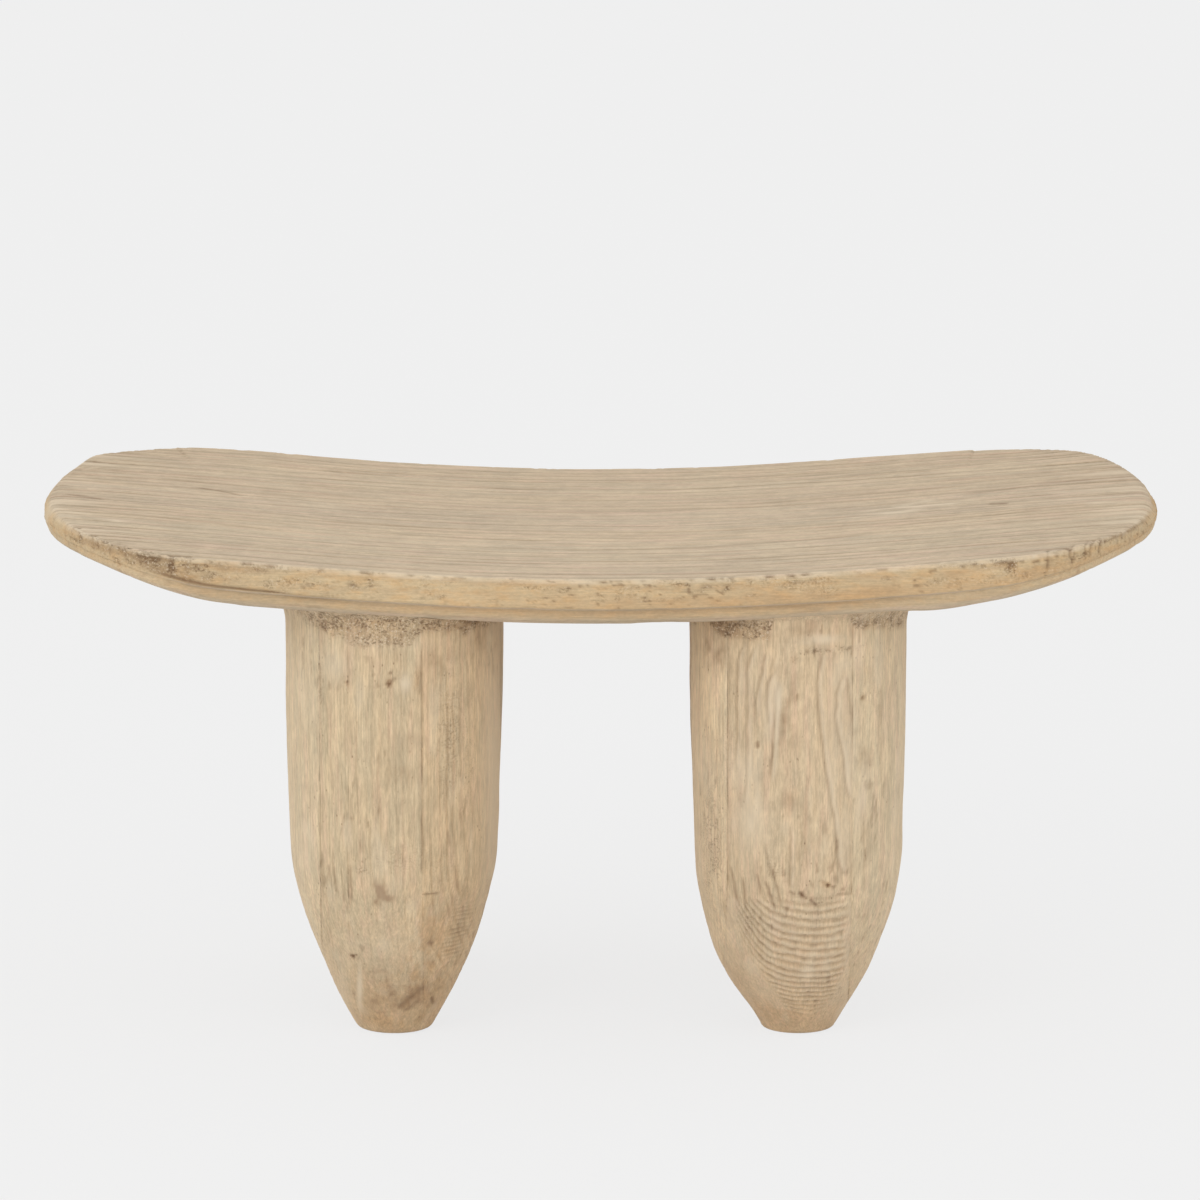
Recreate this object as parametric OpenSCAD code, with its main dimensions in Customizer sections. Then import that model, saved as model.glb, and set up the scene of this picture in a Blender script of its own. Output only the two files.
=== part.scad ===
// A long low stool with a dished seat and four stout legs that end in bullet-shaped feet.
// The seat is glued up from seven boards laid edge to edge and hewn to shape afterwards.
// Each leg is glued up from upright planks, rounded, and tenoned into the underside.
// Origin: on the floor, under the middle of the seat. X runs along the seat, the front is -Y.

/* [Seat] */
// Length of the seat from tip to tip
seat_length = 902; // [800:2:1000]
// Depth of the seat from front to back
seat_depth = 418; // [390:2:480]
// Height of the top above the floor, in the middle of the seat
seat_height = 394; // [340:1:460]
// Thickness of the seat from the top to the flat of its underside
seat_thickness = 42; // [40:0.5:56]
// Thickness of the seat at its tips
tip_thickness = 30; // [26:0.5:38]
// Distance from the middle at which the seat starts to thin
thin_from = 280; // [262:2:320]
// Distance from the middle at which it is as thin as at the tips
thin_to = 410; // [370:5:440]
// How far the tips of the seat rise above its middle
dish_rise = 27; // [12:0.5:40]
// Distance from the middle at which the dish would level out
dish_reach = 600; // [520:10:800]
// How far each long side bows out between the middle and the tips
side_bow = 3; // [1:0.5:8]
// Radius of the blunt ends, seen from above
end_radius = 300; // [260:5:400]
// Radius of the four corners, seen from above
corner_radius = 110; // [80:5:125]

/* [Rim] */
// Height of the rim's face, from the top down to its lower arris
rim_height = 24.5; // [18:0.5:28]
// Rounding of the top edge along the sides
edge_round = 2; // [1:0.5:6]
// Rounding of the top edge at the worn tips
tip_round = 10; // [3:0.5:14]
// How far from the tips the wear of the top edge reaches
tip_wear = 35; // [15:1:60]
// Rounding of the rim's lower arris
arris_round = 1.5; // [0.5:0.5:4]
// How far the cove below the rim is cut in
cove_cut = 6; // [3:0.5:10]
// Height of the cove
cove_height = 5; // [3:0.5:7]
// How far the cove's back leans in from its top to its bottom
cove_lean = 1; // [0.5:0.5:3]
// How far the belly below the cove runs in to the flat of the underside
belly_run = 28; // [16:1:36]

/* [Seat boards] */
// Width of the board along the middle of the seat
middle_board_w = 64; // [50:1:80]
// Width of the two boards beside the middle one
inner_board_w = 58; // [46:1:66]
// Width of the next two boards, the rim boards take what is left
outer_board_w = 60; // [46:1:68]
// How far the glue seams lie behind the middle of the seat
seam_shift = 4; // [0:1:8]

/* [Legs] */
// Distance between the left and right legs, axis to axis
leg_spacing = 326; // [290:1:370]
// Distance between the front and rear legs, axis to axis
leg_row_spacing = 204; // [196:1:214]
// How far all four legs stand off the middle of the seat's length
leg_shift = -3.5; // [-8:0.5:8]
// Diameter at the top of a leg
leg_top_d = 173.5; // [160:0.5:184]
// Diameter at the shoulder where the taper starts
shoulder_d = 165; // [150:0.5:172]
// Height of the shoulder above the floor
shoulder_height = 133; // [100:1:170]
// How far the upper part of a leg swells beyond a straight line
shaft_swell = 1.6; // [0.5:0.1:4]
// How far the taper of a left-hand leg swells beyond a straight line
left_taper_swell = 5.5; // [2:0.5:12]
// How far the taper of a right-hand leg swells beyond a straight line
right_taper_swell = 9; // [2:0.5:12]
// Length over which the shoulder is softened, above and below it
shoulder_soft = 11; // [4:1:20]
// Diameter at the foot
foot_d = 60; // [48:1:80]
// Rounding of the foot's edge
foot_round = 4; // [2:0.5:8]

/* [Leg planks] */
// Glue seams of the front left leg, measured to the right of its axis
front_left_seams = [-58.5, -35.5, 23.5]; // [-70:0.5:70]
// Glue seams of the front right leg, measured to the right of its axis
front_right_seams = [-58, 42]; // [-70:0.5:70]
// Glue seams of the rear left leg, measured to the right of its axis
rear_left_seams = [-31, 36]; // [-70:0.5:70]
// Glue seams of the rear right leg, measured to the right of its axis
rear_right_seams = [-40, 27]; // [-70:0.5:70]

/* [Leg joints] */
// Diameter of the tenon on each leg's core
tenon_d = 38; // [30:1:46]
// Length of the tenon
tenon_length = 17; // [12:0.5:19]
// Clearance round the tenon for glue
tenon_clearance = 0.15; // [0.05:0.05:0.3]
// Space left above the tenon in its blind mortise
mortise_relief = 1; // [0.5:0.5:2]
// Clearance round the leg in its housing
housing_clearance = 0.3; // [0.1:0.1:0.5]
// Least depth of the housing, at the leg's side nearest to the tip
housing_depth = 1.5; // [1:0.5:4]

/* [Hidden] */

// Colours of the pale weathered wood: top, rim and legs
top_wood = [0.72, 0.64, 0.53];
rim_wood = [0.76, 0.65, 0.50];
leg_wood = [0.75, 0.63, 0.49];

// Steps of the arcs: the seat's outline, a leg's profile and a full turn
side_steps = 8;
corner_steps = 7;
end_steps = 5;
profile_steps = 9;
soft_steps = 4;
turn_steps = 120;
// Cutting boxes and drills reach this far past what they cut
overcut = 20;
// Share of the cove's height that its sloping roof takes
cove_slope = 0.35;

LEFT = -1;
RIGHT = 1;
FRONT = -1;
REAR = 1;

// Where the seat lies at a distance x from its middle
function dish(x) = dish_rise * (1 - cos(180 * x / dish_reach))
                   / (1 - cos(180 * seat_length / 2 / dish_reach));
function top_z(x) = seat_height + dish(x);

// Rises smoothly from 0 at a distance a from the middle to 1 at a distance b
function ease(a, b, x) =
    let (t = min(1, max(0, (abs(x) - a) / (b - a))))
    t * t * (3 - 2 * t);

// Thickness of the seat at x, and the height of its underside
function thickness(x) =
    seat_thickness - (seat_thickness - tip_thickness) * ease(thin_from, thin_to, x);
function under_z(x) = top_z(x) - thickness(x);

// Points of an arc from angle a0 to a1, each with the angle of its outward normal
function arc_points(centre, r, a0, a1, steps, first = 0) = [
    for (i = [first : steps])
        let (a = a0 + (a1 - a0) * i / steps)
        [centre.x + r * cos(a), centre.y + r * sin(a), a]
];

// A quarter of the seat's outline is a blunt end, a corner and a bowed side, tangent to each other
half_length = seat_length / 2;
side_radius = (half_length * half_length + side_bow * side_bow) / (2 * side_bow);
end_centre = [half_length - end_radius, 0];
side_centre = [0, seat_depth / 2 - side_radius];
reach_from_end = end_radius - corner_radius;
reach_from_side = side_radius - corner_radius;
between = end_centre - side_centre;
centre_gap = norm(between);
along = (centre_gap * centre_gap + reach_from_side * reach_from_side
         - reach_from_end * reach_from_end) / (2 * centre_gap);
across = sqrt(reach_from_side * reach_from_side - along * along);
corner_centre = side_centre + between * along / centre_gap
                + [between.y, -between.x] * across / centre_gap;
end_angle = atan2(corner_centre.y, corner_centre.x - end_centre.x);
side_angle = atan2(corner_centre.y - side_centre.y, corner_centre.x);

quarter = concat(
    arc_points(end_centre, end_radius, 0, end_angle, end_steps),
    arc_points(corner_centre, corner_radius, end_angle, side_angle, corner_steps, 1),
    arc_points(side_centre, side_radius, side_angle, 90, side_steps, 1)
);
quarter_steps = len(quarter) - 1;
outline = concat(
    quarter,
    [for (i = [quarter_steps - 1 : -1 : 0]) [-quarter[i].x, quarter[i].y, 180 - quarter[i].z]],
    [for (i = [1 : quarter_steps]) [-quarter[i].x, -quarter[i].y, 180 + quarter[i].z]],
    [for (i = [quarter_steps - 1 : -1 : 1]) [quarter[i].x, -quarter[i].y, 360 - quarter[i].z]]
);
outline_steps = len(outline);

// The top edge is crisp along the sides and worn round at the tips
function edge_at(x) =
    edge_round + (tip_round - edge_round) * ease(half_length - tip_wear, half_length, x);

// The rim's profile at x, as pairs of how far in from the outline and how far down from the top.
// Where the seat is thinner, its rim, cove and belly are lower in the same measure.
function rim_profile(x) =
    let (
        e = edge_at(x),
        k = thickness(x) / seat_thickness,
        rim = rim_height * k,
        cove = (rim_height + cove_height) * k,
        belly = thickness(x) - cove
    )
    concat(
        [for (a = [0, 45, 90]) [e * (1 - sin(a)), e * (1 - cos(a))]],
        [
            [0, rim - arris_round],
            [arris_round, rim],
            [cove_cut, rim + (cove - rim) * cove_slope],
            [cove_cut + cove_lean, cove]
        ],
        [for (a = [30, 60, 90])
            [cove_cut + cove_lean + belly_run * (1 - cos(a)), cove + belly * sin(a)]]
    );
profile_levels = len(rim_profile(0));

// One level of the rim, all the way round: moved in along the normal and down from the dished top
function rim_ring(level) = [
    for (p = outline)
        let (
            inset = rim_profile(p.x)[level].x,
            x = p.x - inset * cos(p.z),
            y = p.y - inset * sin(p.z)
        )
        [x, y, top_z(x) - rim_profile(p.x)[level].y]
];

// Strips across the seat from each outline point to the one opposite, flat from front to back
function cap(start) = concat(
    [[start, start + 1, start + outline_steps - 1]],
    [for (i = [1 : outline_steps / 2 - 2])
        [start + i, start + i + 1, start + outline_steps - i - 1, start + outline_steps - i]],
    [[start + outline_steps / 2 - 1, start + outline_steps / 2, start + outline_steps / 2 + 1]]
);
function backwards(face) = [for (i = [len(face) - 1 : -1 : 0]) face[i]];

// The hewn seat before its housings and mortises are cut
module seat_form() {
    bottom = (profile_levels - 1) * outline_steps;
    polyhedron(
        points = [for (level = [0 : profile_levels - 1]) each rim_ring(level)],
        faces = concat(
            [for (face = cap(0)) backwards(face)],
            cap(bottom),
            [for (level = [0 : profile_levels - 2], i = [0 : outline_steps - 1])
                let (
                    a = level * outline_steps + i,
                    b = level * outline_steps + (i + 1) % outline_steps
                )
                each [[a, b, b + outline_steps], [a, b + outline_steps, a + outline_steps]]]
        ),
        convexity = 6
    );
}

// Axis of a leg
function leg_axis(side, row) = [leg_shift + side * leg_spacing / 2, row * leg_row_spacing / 2];

// The shoulders of all legs end on one level, inside the lowest point of their housings
leg_far_x = abs(leg_shift) + leg_spacing / 2 + leg_top_d / 2 + housing_clearance;
leg_height = under_z(leg_far_x) + housing_depth;

// What is cut out of the underside for one leg
module leg_socket() {
    translate([0, 0, leg_height - seat_thickness - overcut])
        cylinder(h = seat_thickness + overcut, d = leg_top_d + 2 * housing_clearance,
                 $fn = turn_steps);
    translate([0, 0, leg_height - overcut])
        cylinder(h = overcut + tenon_length + mortise_relief,
                 d = tenon_d + 2 * tenon_clearance, $fn = turn_steps);
}

// Where the glue seams of the seat lie, from front to back
front_edge = -seat_depth / 2 - overcut;
seat_seams = [
    front_edge,
    seam_shift - middle_board_w / 2 - inner_board_w - outer_board_w,
    seam_shift - middle_board_w / 2 - inner_board_w,
    seam_shift - middle_board_w / 2,
    seam_shift + middle_board_w / 2,
    seam_shift + middle_board_w / 2 + inner_board_w,
    seam_shift + middle_board_w / 2 + inner_board_w + outer_board_w,
    -front_edge
];

// The n-th board of the seat, counted from the front
module seat_board(n) {
    y0 = seat_seams[n];
    y1 = seat_seams[n + 1];
    reach = leg_top_d / 2 + housing_clearance;
    difference() {
        intersection() {
            seat_form();
            translate([-seat_length / 2 - overcut, y0, 0])
                cube([seat_length + 2 * overcut, y1 - y0, seat_height + dish_rise + overcut]);
        }
        for (side = [LEFT, RIGHT], row = [FRONT, REAR])
            let (axis = leg_axis(side, row))
            if (axis.y + reach > y0 && axis.y - reach < y1)
                translate(axis)
                    leg_socket();
    }
}

// A line from a to b, swollen outwards by an arc that rises by swell in the middle
function swollen_line(a, b, swell, steps) =
    let (
        chord = norm(b - a),
        r = (chord * chord / 4 + swell * swell) / (2 * swell),
        half_angle = asin(chord / 2 / r),
        along_dir = (b - a) / chord,
        out_dir = [-along_dir.y, along_dir.x]
    )
    [for (i = [0 : steps])
        let (t = -half_angle + 2 * half_angle * i / steps)
        (a + b) / 2 + along_dir * r * sin(t) - out_dir * (r * cos(t) - r + swell)];

// Points of a soft corner from a to b with the sharp corner at c
function soft_corner(a, c, b, steps) = [
    for (i = [0 : steps])
        let (t = i / steps)
        a * (1 - t) * (1 - t) + c * 2 * t * (1 - t) + b * t * t
];

// Half the outline of a leg from the foot's edge up to its tenon, as radius and height
function leg_outline(taper_swell) =
    let (
        shoulder = [shoulder_d / 2, shoulder_height],
        taper = swollen_line([foot_d / 2, 0], shoulder, taper_swell, profile_steps),
        shaft = swollen_line(shoulder, [leg_top_d / 2, leg_height], shaft_swell, profile_steps),
        low = [for (p = taper) if (p.y > foot_round && p.y < shoulder_height - shoulder_soft) p],
        high = [for (p = shaft) if (p.y > shoulder_height + shoulder_soft) p],
        below = taper[profile_steps - 1],
        above = shaft[1],
        soft_low = shoulder + (below - shoulder) * shoulder_soft / norm(below - shoulder),
        soft_high = shoulder + (above - shoulder) * shoulder_soft / norm(above - shoulder),
        foot_rise = (taper[1] - taper[0]) / norm(taper[1] - taper[0])
    )
    concat(
        [[0, 0]],
        soft_corner(taper[0] - [foot_round, 0], taper[0], taper[0] + foot_rise * foot_round,
                    soft_steps),
        low,
        soft_corner(soft_low, shoulder, soft_high, soft_steps),
        high,
        [
            [tenon_d / 2, leg_height],
            [tenon_d / 2, leg_height + tenon_length],
            [0, leg_height + tenon_length]
        ]
    );

// The rounded leg with its tenon, before it is told apart into planks
module leg_form(taper_swell) {
    rotate_extrude($fn = turn_steps)
        polygon(leg_outline(taper_swell));
}

// The plank of a leg that lies between two of its seams, counted from the left
module leg_plank(side, row, seams, n) {
    far = leg_top_d / 2 + overcut;
    edges = concat([-far], seams, [far]);
    translate(leg_axis(side, row))
        intersection() {
            leg_form(side == LEFT ? left_taper_swell : right_taper_swell);
            translate([edges[n], -far, -overcut])
                cube([edges[n + 1] - edges[n], 2 * far, leg_height + 2 * overcut]);
        }
}

module front_rim_board() {
    color(rim_wood)
        seat_board(0);
}

module front_outer_board() {
    color(top_wood)
        seat_board(1);
}

module front_inner_board() {
    color(top_wood * 0.97)
        seat_board(2);
}

module middle_board() {
    color(top_wood)
        seat_board(3);
}

module back_inner_board() {
    color(top_wood * 0.97)
        seat_board(4);
}

module back_outer_board() {
    color(top_wood)
        seat_board(5);
}

module back_rim_board() {
    color(rim_wood)
        seat_board(6);
}

module front_left_leg_outer_plank() {
    color(leg_wood * 0.97)
        leg_plank(LEFT, FRONT, front_left_seams, 0);
}

module front_left_leg_thin_plank() {
    color(leg_wood * 0.93)
        leg_plank(LEFT, FRONT, front_left_seams, 1);
}

module front_left_leg_core() {
    color(leg_wood)
        leg_plank(LEFT, FRONT, front_left_seams, 2);
}

module front_left_leg_inner_plank() {
    color(leg_wood * 0.96)
        leg_plank(LEFT, FRONT, front_left_seams, 3);
}

module front_right_leg_inner_plank() {
    color(leg_wood * 0.94)
        leg_plank(RIGHT, FRONT, front_right_seams, 0);
}

module front_right_leg_core() {
    color(leg_wood)
        leg_plank(RIGHT, FRONT, front_right_seams, 1);
}

module front_right_leg_outer_plank() {
    color(leg_wood * 0.97)
        leg_plank(RIGHT, FRONT, front_right_seams, 2);
}

module rear_left_leg_outer_plank() {
    color(leg_wood * 0.95)
        leg_plank(LEFT, REAR, rear_left_seams, 0);
}

module rear_left_leg_core() {
    color(leg_wood)
        leg_plank(LEFT, REAR, rear_left_seams, 1);
}

module rear_left_leg_inner_plank() {
    color(leg_wood * 0.97)
        leg_plank(LEFT, REAR, rear_left_seams, 2);
}

module rear_right_leg_inner_plank() {
    color(leg_wood * 0.95)
        leg_plank(RIGHT, REAR, rear_right_seams, 0);
}

module rear_right_leg_core() {
    color(leg_wood)
        leg_plank(RIGHT, REAR, rear_right_seams, 1);
}

module rear_right_leg_outer_plank() {
    color(leg_wood * 0.97)
        leg_plank(RIGHT, REAR, rear_right_seams, 2);
}

front_rim_board();
front_outer_board();
front_inner_board();
middle_board();
back_inner_board();
back_outer_board();
back_rim_board();
front_left_leg_outer_plank();
front_left_leg_thin_plank();
front_left_leg_core();
front_left_leg_inner_plank();
front_right_leg_inner_plank();
front_right_leg_core();
front_right_leg_outer_plank();
rear_left_leg_outer_plank();
rear_left_leg_core();
rear_left_leg_inner_plank();
rear_right_leg_inner_plank();
rear_right_leg_core();
rear_right_leg_outer_plank();
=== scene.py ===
# %% [markdown]
# A long low stool of pale, weathered softwood. Seven boards are glued edge to edge and hewn into a
# dished seat, and four stout legs, each glued up from upright planks, end in bullet-shaped feet.
# The CAD model gives every board and plank its size and place. Here each one gets its carved
# surface: grain that stands in ridges, a chipped rim, a stippled neck on each leg, cracks and knots.
# One growth-ring field drives both the relief and the colour, because on real wood they are the
# same thing: the soft early wood wears down, holds dirt and looks darker.

# %% Load the frame
import math
from itertools import product

import bmesh
import bpy
import numpy as np
from mathutils import Matrix, Vector
from mathutils.bvhtree import BVHTree
from mathutils.kdtree import KDTree


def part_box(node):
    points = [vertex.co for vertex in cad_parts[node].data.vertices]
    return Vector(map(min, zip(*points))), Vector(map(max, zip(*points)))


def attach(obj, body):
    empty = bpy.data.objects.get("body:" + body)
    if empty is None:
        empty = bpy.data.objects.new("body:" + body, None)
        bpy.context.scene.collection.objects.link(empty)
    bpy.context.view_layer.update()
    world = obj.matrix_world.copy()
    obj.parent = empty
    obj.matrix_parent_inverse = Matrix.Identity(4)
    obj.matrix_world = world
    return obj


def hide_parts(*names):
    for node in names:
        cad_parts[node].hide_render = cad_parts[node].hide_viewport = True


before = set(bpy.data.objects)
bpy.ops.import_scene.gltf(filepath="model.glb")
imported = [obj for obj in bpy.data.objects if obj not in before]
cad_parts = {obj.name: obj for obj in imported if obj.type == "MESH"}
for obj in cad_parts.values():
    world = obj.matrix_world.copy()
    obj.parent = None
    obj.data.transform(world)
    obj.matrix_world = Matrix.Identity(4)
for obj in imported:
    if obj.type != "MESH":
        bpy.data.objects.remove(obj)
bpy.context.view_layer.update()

# %% [markdown]
# The boards and planks are listed once. Their CAD boxes say where the glue seams run, how long and
# deep the seat is and where each leg stands, so that no size is typed twice. The curves that a box
# can't tell, such as the dish and the taper of the feet, repeat the CAD's driving sizes.

# %% Names and sizes read from the frame
MM = 0.001
BOARDS = [
    "front_rim_board", "front_outer_board", "front_inner_board", "middle_board",
    "back_inner_board", "back_outer_board", "back_rim_board",
]
LEGS = {
    "front_left_leg": ["outer_plank", "thin_plank", "core", "inner_plank"],
    "front_right_leg": ["inner_plank", "core", "outer_plank"],
    "rear_left_leg": ["outer_plank", "core", "inner_plank"],
    "rear_right_leg": ["inner_plank", "core", "outer_plank"],
}


def joint_box(nodes):
    """Lowest and highest corner of several CAD nodes taken together, in metres."""
    boxes = [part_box(node) for node in nodes]
    low = np.min([list(box[0]) for box in boxes], axis=0)
    high = np.max([list(box[1]) for box in boxes], axis=0)
    return low, high


seat_high = joint_box(BOARDS)[1]
half_length = seat_high[0]
half_depth = seat_high[1]
board_edges = [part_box(board)[0].y for board in BOARDS] + [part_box(BOARDS[-1])[1].y]
print("seat", 2 * half_length, "by", 2 * half_depth)
print("glue seams at", np.round(board_edges[1:-1], 3))

# %% [markdown]
# The seat dips in the middle like a shallow boat. A stretch of a cosine gives that line: it is
# level in the middle, rises faster and faster and begins to level out again at the tips. A circle
# would do too, but the photograph's rim flattens towards the ends, and a cosine does that by itself.

# %% The dish of the seat and its thickness
dish_rise = 27 * MM
dish_reach = 600 * MM
seat_height = seat_high[2] - dish_rise
seat_thickness = 42 * MM
tip_thickness = 30 * MM
thin_from = 280 * MM
thin_to = 410 * MM


def ease(start, end, x):
    """Rises smoothly from 0 at start to 1 at end, on both sides of the middle."""
    t = np.clip((np.abs(x) - start) / (end - start), 0, 1)
    return t * t * (3 - 2 * t)


def top_z(x):
    """Height of the dished top at a distance x from the middle."""
    full = 1 - math.cos(math.pi * half_length / dish_reach)
    return seat_height + dish_rise * (1 - np.cos(math.pi * x / dish_reach)) / full


def thickness(x):
    """Thickness of the seat, which thins towards the tips."""
    return seat_thickness - (seat_thickness - tip_thickness) * ease(thin_from, thin_to, x)


print("top in the middle and at a tip:", top_z(0.0), top_z(half_length))

# %% [markdown]
# Seen from above, the seat is made of arcs that run into each other without a kink: a blunt end, a
# rounder corner and a long side that bows out by a few millimetres. Each point of an arc also keeps
# the direction that points outwards there, because the rim is built by moving in along it.

# %% The outline of the seat
side_bow = 3 * MM
end_radius = 300 * MM
corner_radius = 110 * MM
OUTLINE_FINE = 600


def quarter_outline():
    """The right-hand back quarter, from the tip to the middle of the side: x, y, outward angle."""
    side_radius = (half_length ** 2 + side_bow ** 2) / (2 * side_bow)
    end_centre = np.array([half_length - end_radius, 0])
    side_centre = np.array([0, half_depth - side_radius])
    between = end_centre - side_centre
    gap = np.hypot(*between)
    to_end = end_radius - corner_radius
    to_side = side_radius - corner_radius
    along = (gap ** 2 + to_side ** 2 - to_end ** 2) / (2 * gap)
    across = math.sqrt(to_side ** 2 - along ** 2)
    corner_centre = side_centre + (between * along + np.array([between[1], -between[0]]) * across) / gap
    end_angle = math.atan2(corner_centre[1], corner_centre[0] - end_centre[0])
    side_angle = math.atan2(corner_centre[1] - side_centre[1], corner_centre[0])
    arcs = [
        (end_centre, end_radius, 0, end_angle),
        (corner_centre, corner_radius, end_angle, side_angle),
        (side_centre, side_radius, side_angle, math.pi / 2),
    ]
    pieces = []
    for centre, radius, start, end in arcs:
        angle = np.linspace(start, end, OUTLINE_FINE)
        x = centre[0] + radius * np.cos(angle)
        y = centre[1] + radius * np.sin(angle)
        pieces.append(np.stack([x, y, angle], axis=1))
    corner_turn = (end_angle + side_angle) / 2
    return np.concatenate(pieces), corner_turn


def spread(points, start, end, count):
    """count + 1 points at even steps along a fine outline, between two of its outward angles."""
    steps = np.hypot(*np.diff(points[:, :2], axis=0).T)
    run = np.concatenate([[0], np.cumsum(steps)])
    first = np.interp(start, points[:, 2], run)
    last = np.interp(end, points[:, 2], run)
    wanted = np.linspace(first, last, count + 1)
    return np.stack([np.interp(wanted, run, points[:, k]) for k in range(3)], axis=1)


quarter, corner_turn = quarter_outline()
print("the outline's corner turns at", round(math.degrees(corner_turn)), "degrees")

# %% [markdown]
# The rim's profile goes over the top edge, down the face, round the lower arris, into a hewn cove
# and round the belly to the flat underside. It is a list of pairs: how far in from the outline, and
# how far down from the top. Where the seat is thinner, the lower part rises in the same measure.
# The cove is cut deepest along the middle of the long sides and fades out before the tips, where
# the belly starts right under the face.

# %% The profile of the rim
rim_height = 24.5 * MM
edge_round = 3 * MM
tip_round = 10 * MM
tip_wear = 35 * MM
arris_round = 1.5 * MM
cove_cut = 6 * MM
cove_height = 5 * MM
cove_lean = 1 * MM
cove_slope = 0.35
cove_fades_from = 240 * MM
cove_ends_at = 400 * MM
EDGE_TURNS = (0, 22, 45, 68, 90)
belly_run = 28 * MM
RIM_ROWS = 15
BELLY_ROWS = 10


def rim_profile(x):
    """Pairs of inset and depth at the outline points with these x, from the top down."""
    edge = edge_round + (tip_round - edge_round) * ease(half_length - tip_wear, half_length, x)
    fade = 1 - ease(cove_fades_from, cove_ends_at, x)
    cut = arris_round + (cove_cut - arris_round) * fade
    lean = cove_lean * fade
    run = belly_run + cove_cut + cove_lean - cut - lean
    share = thickness(x) / seat_thickness
    rim = rim_height * share
    cove = (rim_height + cove_height) * share
    belly = thickness(x) - cove
    none = np.zeros_like(x)
    levels = []
    for angle in np.radians(EDGE_TURNS):
        levels.append((edge * (1 - math.sin(angle)), edge * (1 - math.cos(angle))))
    for step in range(1, RIM_ROWS + 1):
        levels.append((none, edge + (rim - arris_round - edge) * step / RIM_ROWS))
    for angle in np.radians([45, 90]):
        levels.append((none + arris_round * (1 - math.cos(angle)),
                       rim - arris_round * (1 - math.sin(angle))))
    roof = rim + (cove - rim) * cove_slope
    for step in (0.5, 1):
        levels.append((none + arris_round + (cut - arris_round) * step, rim + (roof - rim) * step))
    for step in (0.5, 1):
        levels.append((none + cut + lean * step, roof + (cove - roof) * step))
    for step in range(1, BELLY_ROWS + 1):
        angle = math.pi / 2 * step / BELLY_ROWS
        levels.append((none + cut + lean + run * (1 - math.cos(angle)),
                       cove + belly * math.sin(angle)))
    return levels


print("rim profile levels:", len(rim_profile(np.zeros(1))))

# %% [markdown]
# Wood needs unevenness at many sizes. This noise holds random values on a small lattice and blends
# between them smoothly. Dividing the points by three different sizes stretches the lumps, which
# makes fibres when they are long one way. Blender's own noise could be used, but this one works on
# all vertices at once, so that relief on a hundred thousand points takes a fraction of a second.
# Points and sizes are both in millimetres, as in all of the carving further down.

# %% Noise on a lattice
LATTICE_SIZE = 48
LATTICE = np.random.default_rng(11).uniform(-1, 1, (LATTICE_SIZE,) * 3)


def lumps(points, size, shift=0.0):
    """Smooth noise from -1 to 1, with lumps of this size along x, y and z."""
    place = points / np.asarray(size) + shift
    cell = np.floor(place).astype(int)
    t = place - cell
    t = t * t * (3 - 2 * t)
    total = np.zeros(len(points))
    for corner in product((0, 1), repeat=3):
        weight = np.prod(np.where(corner, t, 1 - t), axis=1)
        i, j, k = ((cell + corner) % LATTICE_SIZE).T
        total += weight * LATTICE[i, j, k]
    return total


def rough(points, size, octaves=3, shift=0.0):
    """Several layers of noise, each half the size and half the strength of the last."""
    size = np.asarray(size, float)
    layers = [lumps(points, size / 2 ** n, shift + 7.3 * n) / 2 ** n for n in range(octaves)]
    return np.sum(layers, axis=0)


def rise(value, start, end):
    """0 below start, 1 above end and smooth between them."""
    t = np.clip((value - start) / (end - start), 0, 1)
    return t * t * (3 - 2 * t)


def noises_at(points, seed=0.0):
    """Two shorthands for one piece: its noise as it comes, and as patches from 0 to 1."""
    def noise(size, octaves, shift):
        return rough(points, size, octaves, seed + shift)

    def patches(size, octaves, shift, low, high):
        return rise(noise(size, octaves, shift), low, high)

    return noise, patches


print("noise at the origin:", lumps(np.zeros((1, 3)), (10, 10, 10)))

# %% [markdown]
# The seat starts as one closed skin. Its top is a patch stretched between the four runs of the
# outline, so its rows follow the grain from end to end and lie close together across it, where the
# ridges need them. The rim hangs from the patch's border, ring by ring. The underside takes a third
# of the points, because nobody sees fine grain there.

# %% The skin of the seat
LONG_STEPS = 360
END_STEPS = 312
UNDER_SHARE = 3
UNDER_STEP = 3 * MM
tip_from = 395 * MM
left_tip_forward = 9 * MM
right_tip_forward = 15 * MM
full_corner_at = -418 * MM
full_corner = 13 * MM


def hewn_by_eye(run):
    """The tips lie a little nearer the front than the middle line, and the far left corner is full."""
    x, y, angle = run.T
    forward = np.where(x > 0, right_tip_forward, left_tip_forward) * ease(tip_from, half_length, x)
    corner = full_corner * np.exp(-((x - full_corner_at) / full_corner) ** 2) * (y > 0)
    return np.stack([x, y - forward + corner, angle], axis=1)


def seat_runs():
    """The outline as four runs of x, y and outward angle: front, right, back and left."""
    end_half = spread(quarter, 0, corner_turn, END_STEPS // 2)
    side_half = spread(quarter, corner_turn, math.pi / 2, LONG_STEPS // 2)
    back_right = side_half[::-1]
    back_left = back_right[::-1] * [-1, 1, 1]
    back_left[:, 2] = math.pi - back_left[:, 2]
    back = np.concatenate([back_left, back_right[1:]])
    front = back * [1, -1, -1]
    right_lower = end_half[::-1] * [1, -1, -1]
    right = np.concatenate([right_lower, end_half[1:]])
    left = right * [-1, 1, -1]
    left[:, 2] += math.pi
    return [hewn_by_eye(run) for run in (front, right, back, left)]


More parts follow.
